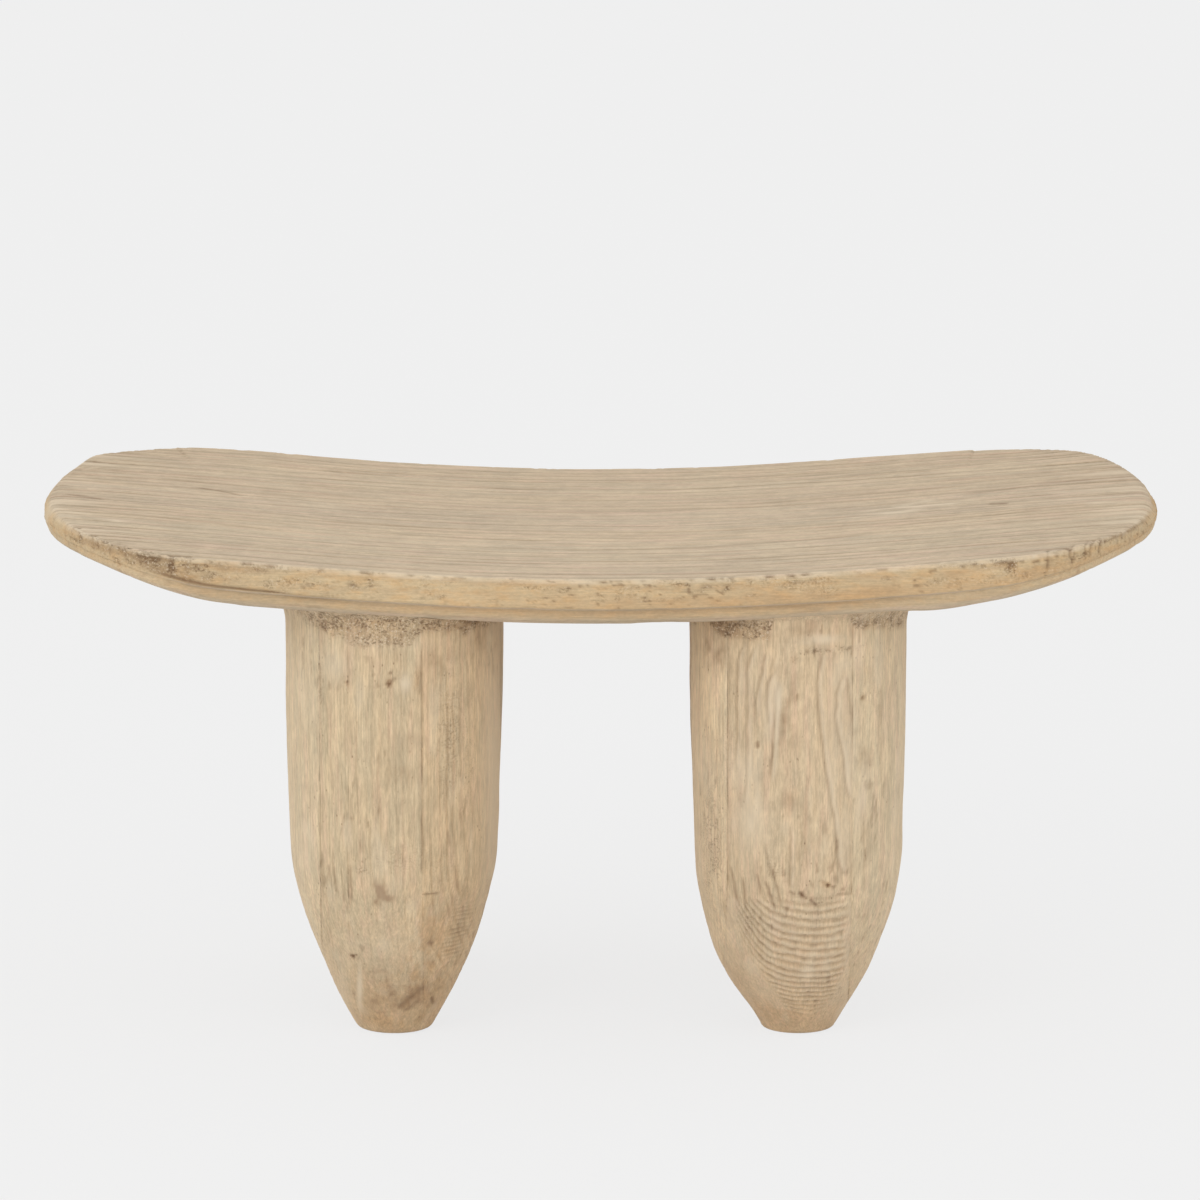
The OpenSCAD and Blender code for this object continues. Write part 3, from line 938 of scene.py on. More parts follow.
    # Painted highlight: a pale line along the top edge, where it catches the light. Beside the clefts
    # it also takes pale torn wood.
    edge_highlight_and_torn = bell(lip - 2.2, 1.6) * (rim + top) * (0.4 + 0.6 * patches((16, 16, 16), 2, 14.0, -0.5, 0.3))
    edge_highlight_and_torn = edge_highlight_and_torn * (below < 8) * (1 - np.clip(worn["bitten"] + worn["bites"] + painted_lip_shadow, 0, 1))
    torn = rise(worn["clefts"], 0.02, 0.1) * bell(lip, 4)
    edge_highlight_and_torn = edge_highlight_and_torn + 0.8 * torn * (1 - rise(worn["clefts"], 0.2, 0.5))
    scuffs = strokes(x, y, SCUFFS, 4 * waver) * top * patches((30, 5, 30), 2, 16.0, -0.7, 0.5)
    bright = rise(lumps(points, (70, 6, 6), 21.0), 0.0, 0.6) * (1 - coarse) * top * ease(330, 440, x)
    worn_tip = blot(x, y, (-449, -52), (12, 20)) * (rim + top)

    # The face turns warmer towards its lower edge. Painted shade: the honey tone in the cove under the
    # rim, strongest just below the arris, darkens it where the rim overhangs.
    lower = rise(depth, 8, 22) * rise(x, -220, 60)
    under_rim = bell(depth - face_height - 3, 6) * arris * (0.45 + 0.55 * rise(x, -260, -60))
    honey = 0.6 * front * marks(x, depth, HONEY) * patches((18, 18, 18), 2, 12.2, -0.9, 0.5)
    honey = honey + (0.06 + 0.55 * lower) * face + cove * (0.04 + 0.75 * under_rim)
    crumbs = 0.7 * patches((26, 26, 7), 2, 18.0, 0.1, 0.8) * face
    crumbs = crumbs + 0.4 * rise(-x, 90, 200) * rise(shreds, -0.3, 0.5) * front
    crumbs = crumbs + 0.8 * bell(lip, 4) * rise(shreds, -0.2, 0.6) * at_front
    grime = np.clip(marks(x, depth, ROTTEN) / 3.2 + 0.4 * worn["rubble"], 0, 1) * front
    finish_carving(
        mesh,
        points + shift,
        rings=rings,
        hollow=np.clip(hollow, 0, 1),
        honey=np.clip(honey, 0, 1),
        pale=np.clip(0.6 * edge_highlight_and_torn + 1.1 * scuffs + 0.6 * worn_tip + 0.7 * bright, 0, 1),
        face=np.clip(face * (0.45 + 0.55 * rise(lip, 0, 5)) + 0.8 * cove, 0, 1),
        stipple=np.clip(worn["rubble"] + 0.5 * crumbs + worn["chips"] + 0.9 * grime, 0, 1),
        # Painted shade: a touch of darkening over the whole cove.
        smudge=np.clip(0.55 * grime + 0.02 * cove, 0, 1),
    )


print("boards are carved with rings", min(RING_SPACINGS), "to", max(RING_SPACINGS), "mm apart")

# %% [markdown]
# The legs stand in holes: a shallow round housing for the shoulder and a blind mortise for the
# tenon. A drill is a plain cylinder that is taken away from the board with a Boolean modifier. The
# modifier is applied at once, so that the finished board is an ordinary mesh.

# %% Drill the housings and mortises
housing_clearance = 0.3 * MM
tenon_clearance = 0.15 * MM
mortise_relief = 1 * MM
DRILL_SIDES = 192
HOUSING_DRILL_STARTS = 60 * MM  # below the leg's top, well clear of the seat
MORTISE_DRILL_STARTS = 20 * MM


def drill_bit(name, centre, radius, low, high):
    """A closed cylinder between two heights."""
    bm = bmesh.new()
    bmesh.ops.create_cone(bm, cap_ends=True, segments=DRILL_SIDES, radius1=radius, radius2=radius,
                          depth=high - low)
    mesh = bpy.data.meshes.new(name)
    bm.to_mesh(mesh)
    bm.free()
    mesh.transform(Matrix.Translation((centre[0], centre[1], (low + high) / 2)))
    obj = bpy.data.objects.new(name, mesh)
    bpy.context.scene.collection.objects.link(obj)
    return obj


def bits_for_leg(name):
    """The drills for one leg: where they reach, and the cylinders themselves."""
    low, high = joint_box([f"{name}_{plank}" for plank in LEGS[name]])
    centre = (low[:2] + high[:2]) / 2
    radius = (high[0] - low[0]) / 2 + housing_clearance
    leg_height = high[2] - tenon_length
    housing = drill_bit(name + "_housing", centre, radius, leg_height - HOUSING_DRILL_STARTS,
                        leg_height)
    mortise = drill_bit(name + "_mortise", centre, tenon_d / 2 + tenon_clearance,
                        leg_height - MORTISE_DRILL_STARTS, high[2] + mortise_relief)
    return centre[1] - radius, centre[1] + radius, housing, mortise


def bake_modifiers(obj):
    """Replaces an object's mesh with what its modifiers make of it."""
    shaped = obj.evaluated_get(bpy.context.evaluated_depsgraph_get())
    mesh = bpy.data.meshes.new_from_object(shaped, preserve_all_data_layers=True,
                                           depsgraph=bpy.context.evaluated_depsgraph_get())
    obj.modifiers.clear()
    obj.data = mesh


drills = [bits_for_leg(name) for name in LEGS]


def drill_board(obj, low, high):
    """Takes every drill that reaches the board out of it."""
    for y0, y1, *bits in drills:
        if y1 < low or y0 > high:
            continue
        for bit in bits:
            modifier = obj.modifiers.new("drill", "BOOLEAN")
            modifier.operation = "DIFFERENCE"
            modifier.solver = "MANIFOLD"
            modifier.object = bit
    bake_modifiers(obj)


print("drills:", [bit.name for drill in drills for bit in drill[2:]])

# %% [markdown]
# Materials. Old scrubbed softwood has no varnish, so it is nearly matt. Its colour could be one
# picture wrapped round each piece, but then the fibres would end at the glue seams like wallpaper.
# Here it is a solid pattern in space that every piece cuts through. A few short helpers keep the
# node trees readable: a socket takes either a plain number or another node's output.

# %% Node helpers
def srgb(r, g, b):
    """A colour as a screen shows it, 0 to 255, in the linear values that nodes use."""
    def linear(v):
        v = v / 255
        return v / 12.92 if v <= 0.04045 else ((v + 0.055) / 1.055) ** 2.4
    return (linear(r), linear(g), linear(b), 1.0)


class Bench:
    """Adds nodes to one material and wires them up. A socket takes a value or another's output."""

    def __init__(self, name):
        self.material = bpy.data.materials.new(name)
        self.material.use_nodes = True
        self.tree = self.material.node_tree
        self.shader = self.tree.nodes["Principled BSDF"]

    def plug(self, socket, value):
        """Links another node's output to a socket, or sets the socket to a plain value."""
        if isinstance(value, bpy.types.NodeSocket):
            self.tree.links.new(value, socket)
        elif value is not None:
            socket.default_value = value

    def node(self, kind, **inputs):
        """A new node with its named inputs plugged in."""
        node = self.tree.nodes.new(kind)
        for name, value in inputs.items():
            self.plug(node.inputs[name], value)
        return node

    def values(self, name):
        """A number that the mesh's points carry."""
        node = self.node("ShaderNodeAttribute")
        node.attribute_name = name
        return node.outputs["Fac"]

    def math(self, operation, a, b=None, clamp=False):
        """One sum, such as ADD or MULTIPLY."""
        node = self.node("ShaderNodeMath")
        node.operation = operation
        node.use_clamp = clamp
        self.plug(node.inputs[0], a)
        self.plug(node.inputs[1], b)
        return node.outputs[0]

    def times(self, a, b):
        """One value times another."""
        return self.math("MULTIPLY", a, b)

    def span(self, value, low, high, to_low=0.0, to_high=1.0):
        """Maps low to high onto to_low to to_high, smoothly."""
        node = self.node("ShaderNodeMapRange")
        node.interpolation_type = "SMOOTHSTEP"
        for socket, v in zip(node.inputs, (value, low, high, to_low, to_high)):
            self.plug(socket, v)
        return node.outputs[0]

    def stretched(self, size):
        """Object coordinates divided by three sizes in millimetres, for grain that runs one way."""
        place = self.node("ShaderNodeTexCoord").outputs["Object"]
        node = self.node("ShaderNodeVectorMath")
        node.operation = "DIVIDE"
        self.plug(node.inputs[0], place)
        self.plug(node.inputs[1], [s * MM for s in size])
        return node.outputs[0]

    def noise(self, size, detail=2.0, roughness=0.5):
        """Smooth noise, about 0.5 on average."""
        vector = self.stretched(size)
        node = self.node("ShaderNodeTexNoise", Vector=vector, Scale=1.0, Detail=detail,
                         Roughness=roughness)
        return node.outputs["Fac"]

    def cells(self, size):
        """Distance from the nearest of many scattered points, for pits."""
        vector = self.stretched(size)
        return self.node("ShaderNodeTexVoronoi", Vector=vector, Scale=1.0).outputs["Distance"]

    def grey(self, value):
        """A number as a grey colour, for multiplying."""
        return self.node("ShaderNodeCombineColor", Red=value, Green=value, Blue=value).outputs[0]

    def year_lines(self, rings, width):
        """A line at each whole ring number, in some years darker than in others."""
        year = self.math("ROUND", rings)
        away = self.math("ABSOLUTE", self.math("SUBTRACT", rings, year))
        random = self.tree.nodes.new("ShaderNodeTexWhiteNoise")
        random.noise_dimensions = "1D"
        self.plug(random.inputs["W"], year)
        line = self.span(away, 0.0, width, 1.0, 0.0)
        return self.times(line, self.span(random.outputs["Value"], 0.0, 1.0, 0.15, 1.0))

    def mix(self, factor, a, b, blend="MIX"):
        """Colour a with colour b laid over it."""
        node = self.tree.nodes.new("ShaderNodeMix")
        node.data_type = "RGBA"
        node.blend_type = blend
        self.plug(node.inputs[0], factor)
        self.plug(node.inputs[6], a)
        self.plug(node.inputs[7], b)
        return node.outputs[2]

    def shaded(self, colour, noise, depth):
        """A colour made darker and lighter by up to this share, where the noise says so."""
        shade = self.span(noise, 0.3, 0.7, 1 - depth, 1 + depth)
        return self.mix(1.0, colour, self.grey(shade), "MULTIPLY")


print("tan as nodes see it:", [round(v, 3) for v in srgb(197, 178, 152)])

# %% [markdown]
# The wood's colour is layered as the real one came about: a pale tan ground that drifts between
# rosy and greyish, thin darker lines at the growth rings, fine fibres along the grain, a honey tone
# where the wood stayed sound, and dirt in every hollow. On top of these, some light and shade is
# painted in: the honey tone, smudge and dirt also carry painted shade in the seat's cove, along its
# edges and on the legs' necks and ring valleys, and the pale layer carries painted highlights along
# edges and ridges besides rubbed wear. The ring lines come from the same ring numbers that shaped
# the relief, which every point of the mesh carries. The legs' wood is left fuzzy by the rasp, and
# its loose fibres catch light at a slant: that is a touch of sheen.

# %% Scrubbed softwood
# Colours of the layers. The honey, smudge, dirt and pale layers carry painted shade and highlight as
# well as the wood's own marks.
OCHRE = srgb(198, 160, 112)
HONEY_TONE_AND_SHADE = srgb(190, 150, 106)
SMUDGE_AND_SHADE_BROWN = srgb(150, 120, 92)
DARK_DIRT_AND_SHADE = srgb(112, 82, 56)
PALE_WEAR_AND_HIGHLIGHT = srgb(228, 211, 184)
LOOSE_FIBRES = srgb(252, 232, 205)
BUMP_HEIGHT = 0.5 * MM


def tinted(colour, tone):
    """A colour with each channel multiplied, for boards from different trees."""
    return tuple(c * t for c, t in zip(colour, tone)) + (1.0,)


def softwood(name, along, ground, rosy, grey, line, line_width, line_depth, fine_rings, fibre_depth,
             specks, run, patches, fuzzy=0.0, tone=(1, 1, 1), face=None):
    """Old scrubbed softwood. along says which way the fibres go, and run how long its streaks are."""
    bench = Bench(name)

    def grain(size, length):
        return tuple(size * (length if axis else 1) for axis in along)

    streak = bench.noise(grain(6, run), 3.0, 0.6)
    band = bench.noise(grain(12, 0.7 * run), 3.0, 0.6)
    fibre = bench.noise(grain(1.1, 36), 3.0, 0.65)
    fuzz = bench.noise(grain(1.8, 2.5 + 6 * fuzzy), 3.0, 0.7)
    blotch = bench.noise(grain(9, 3.5) if face is None else (20, 20, 7), 3.0, 0.65)
    crumb = bench.noise((2.0, 2.0, 1.7), 3.0, 0.7)
    hollow = bench.values("hollow")
    stipple = bench.values("stipple")

    colour = bench.mix(bench.span(band, 0.38, 0.64), tinted(ground, tone), tinted(grey, tone))
    colour = bench.mix(bench.times(bench.span(streak, 0.46, 0.7), 0.8), colour, tinted(rosy, tone))
    if face is not None:
        worn = bench.mix(bench.times(bench.span(blotch, 0.42, 0.68), 0.5), tinted(face, tone), OCHRE)
        colour = bench.mix(bench.values("face"), colour, worn)
    colour = bench.shaded(colour, bench.noise(grain(45, 3), 3.0), 0.04)

    rings = bench.math("ADD", bench.values("rings"), bench.times(streak, 0.25))
    lines = bench.year_lines(rings, line_width)
    if fine_rings > 1:
        fine = bench.year_lines(bench.times(rings, fine_rings), 0.32)
        lines = bench.math("MAXIMUM", lines, bench.times(fine, 0.55))
    broken = bench.span(bench.noise(grain(5, 10), 2.0), 0.35, 0.62, 0.25, 1.0)
    lines = bench.times(lines, broken)
    colour = bench.mix(bench.times(lines, line_depth), colour, tinted(line, tone))

    # The honey tone is sound wood, and painted shade in the seat's cove and on the legs' necks.
    colour = bench.mix(bench.times(bench.values("honey"), 0.55), colour, HONEY_TONE_AND_SHADE)
    for noise, depth in ((fibre, fibre_depth), (fuzz, 1.5 * patches), (blotch, patches)):
        colour = bench.shaded(colour, noise, depth)
    # Smudge is grime and stains, and painted shade in the cove and on the legs' necks.
    colour = bench.mix(bench.times(bench.values("smudge"), 0.6), colour, SMUDGE_AND_SHADE_BROWN)

    reach = bench.span(bench.noise((9, 9, 9), 2.0), 0.35, 0.65, 0.38, 0.5)
    pit = bench.times(bench.span(bench.math("SUBTRACT", reach, crumb), 0.0, 0.08), stipple)
    bump_top = bench.times(bench.span(crumb, 0.54, 0.64), stipple)
    speck = bench.span(bench.cells(grain(4.5, 1.7)), 0.06, 0.19, specks, 0.0)
    speck = bench.times(speck, bench.span(bench.noise((26, 26, 26)), 0.48, 0.66))
    # Dirt in hollows, pits and specks. The hollows also carry painted shade lines and the legs' shaded
    # ring valleys.
    dirt_and_shade = bench.times(bench.math("ADD", hollow, pit, clamp=True), 0.9)
    dirt_and_shade = bench.math("ADD", bench.math("MAXIMUM", hollow, dirt_and_shade), speck)
    colour = bench.mix(bench.times(dirt_and_shade, 0.74), colour, DARK_DIRT_AND_SHADE)
    # The pale layer is rubbed wear and crumbs, and painted highlights on edges, ridges and beside
    # trails.
    pale = bench.math("ADD", bench.values("pale"), bench.times(bump_top, 0.95), clamp=True)
    colour = bench.mix(bench.times(pale, 0.7), colour, PALE_WEAR_AND_HIGHLIGHT)

    height = bench.times(fibre, 0.7)
    for layer, weight in ((lines, -0.5), (pit, -1.6), (bump_top, 0.5), (speck, -0.8), (fuzz, 0.5)):
        height = bench.math("ADD", height, bench.times(layer, weight))
    bump = bench.node("ShaderNodeBump", Height=height, Strength=0.7, Distance=BUMP_HEIGHT)
    finish = {
        "Base Color": colour,
        "Roughness": bench.span(fuzz, 0.3, 0.7, 0.72, 0.9),
        "Specular IOR Level": 0.25,
        "Sheen Weight": fuzzy,
        "Sheen Roughness": 0.45,
        "Sheen Tint": LOOSE_FIBRES,
        "Normal": bump.outputs["Normal"],
    }
    for socket, value in finish.items():
        bench.plug(bench.shader.inputs[socket], value)
    return bench.material


def seat_wood(board, tone):
    """The wood of one seat board: fibres along x, cooler on the top than on the rim's face."""
    return softwood(
        board + "_wood", along=(True, False, False), tone=tone,
        ground=srgb(208, 189, 161), rosy=srgb(214, 189, 164), grey=srgb(200, 183, 157),
        line=srgb(161, 128, 101), line_width=0.2, line_depth=0.5, fine_rings=FINE_RINGS,
        fibre_depth=0.075, specks=0.12, run=11, patches=0.05, face=srgb(206, 183, 146),
    )


def leg_wood(plank, tone, lines):
    """The wood of one leg plank: fibres upright. lines says how clearly its rings show."""
    return softwood(
        plank + "_wood", along=(False, False, True), tone=tone,
        ground=srgb(209, 187, 154), rosy=srgb(213, 186, 156), grey=srgb(204, 185, 154),
        line=srgb(160, 130, 98), line_width=0.36, line_depth=lines, fine_rings=1, fibre_depth=0.1,
        specks=0.7, run=10, patches=0.08, fuzzy=0.5,
    )


print("woods to make:", len(BOARDS) + sum(len(planks) for planks in LEGS.values()))

# %% [markdown]
# The boards: sawn out of the seat's skin at the glue seams, carved, drilled and dressed. No two
# boards come from the same tree, so each has its own slightly warmer, cooler or darker wood.

# %% Make the seat boards
TONES = [
    (1, 1, 1), (0.99, 0.995, 0.99), (1.01, 1.0, 0.985), (0.985, 0.985, 0.99), (1.0, 0.99, 0.98),
    (1.01, 1.01, 1.0), (0.99, 0.98, 0.97),
]


def dress(piece, node, wood):
    """Gives a carved piece its wood and puts it in the place of its CAD node."""
    piece.data.materials.clear()
    piece.data.materials.append(wood)
    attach(piece, "root")
    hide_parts(node)
    print(node, len(piece.data.polygons), "faces")


for n, board in enumerate(BOARDS):
    low = board_edges[n] if n > 0 else None
    high = board_edges[n + 1] if n < len(BOARDS) - 1 else None
    piece = saw(seat_mesh, board, 1, low, high)
    carve_board(piece, n)
    drill_board(piece, board_edges[n], board_edges[n + 1])
    dress(piece, board, seat_wood(board, TONES[n]))

for drill in drills:
    for bit in drill[2:]:
        bpy.data.objects.remove(bit)

# %% [markdown]
# Each plank of a leg comes from its own board, so each has its own pith, ring spacing and strength
# of grain. The right front leg's core holds the middle of a tree: its rings open into long loops on
# the shaft, and where the taper cuts across them low down, they come out as a stack of arcs. ARCS
# holds their heights on the leg's face, because that spacing is the first thing that the eye
# compares there. The other front planks were cut far from the pith and show fine upright lines.
#
# The marks of the two front legs are listed as places on the front of the leg: how far right of its
# axis and how far above the floor, in millimetres. The rear legs, which the photograph hides, get a
# few of each kind at random places.
#
# Knots and splits are what they say. Stains are dark patches, and some of them, under the seat and
# along a leg's shaded side, are painted shade. Pale marks are lighter wood, and some of them, along
# the legs' edges, are painted light. Reds are patches of sound, reddish wood, and pepper is a
# scatter of small pits. A trail is a width, a strength and the places that it runs through, from the
# top down. deep_neck says where the gouge went deeper under the seat, bulges where the form is
# fuller or leaner, calm where the rings hardly stand out, and ripples where a tool chattered across
# the grain. neck_floor is the line at which the stippled neck ends: places across, and heights.

# %% The planks and their marks
NEAR_AXIS = (-6, 19)
FAR_LEFT = (-300, 40)
# The tones were fitted to how bright each plank looks, so they paint some light and shade besides the
# plank's own wood: the left leg's inner plank is darker, on the side away from the light, and the right
# leg's inner plank is lighter, where the left leg shades it.
PLANKS = {
    "front_left_leg_outer_plank": dict(
        pith=FAR_LEFT, spacing=3.1, wander=0.5, relief=0.18, lines=0.2, tone=(1.09, 1.11, 1.11)),
    "front_left_leg_thin_plank": dict(
        pith=FAR_LEFT, spacing=3.4, wander=0.5, relief=0.2, lines=0.2, tone=(1.0, 1.0, 0.98)),
    "front_left_leg_core": dict(
        pith=FAR_LEFT, spacing=4.3, wander=0.8, relief=0.1, lines=0.2, tone=(0.99, 0.98, 0.955)),
    "front_left_leg_inner_plank": dict(
        pith=FAR_LEFT, spacing=3.9, wander=0.8, relief=0.16, lines=0.42, tone=(1.0, 0.96, 0.91)),
    "front_right_leg_inner_plank": dict(
        pith=FAR_LEFT, spacing=3.3, wander=0.6, relief=0.2, lines=0.25, tone=(1.18, 1.185, 1.185)),
    "front_right_leg_core": dict(
        pith=NEAR_AXIS, spacing=2.6, wander=0.3, relief=0.6, lines=0.0, tone=(1.03, 1.01, 1.0)),
    "front_right_leg_outer_plank": dict(
        pith=FAR_LEFT, spacing=3.6, wander=0.6, relief=0.1, lines=0.14, tone=(1.07, 1.08, 1.08)),
}
USUAL_PLANK = dict(
    pith=NEAR_AXIS, spacing=2.8, wander=0.4, relief=0.35, lines=0.3, tone=(1.02, 1.01, 1.0))
ARCS = (
    -42, -22, 2, 9, 14, 18.5, 22.5, 26.5, 30.5, 34.5, 38.5, 43, 48, 53.5, 59, 65, 71.5, 78, 84.5, 91.5,
    98.5, 105.5, 113, 119.5, 126, 133, 141, 149,
)
LOWEST_POINT = 18
STEEP_FROM = -19
ARC_LEFT_END = ((14, 28, 40, 55, 70, 88, 125), (-6, -12, -18, -28, -38, -47, -50))
ARC_RIGHT_END = ((14, 28, 45, 60), (20, 26, 33, 38))
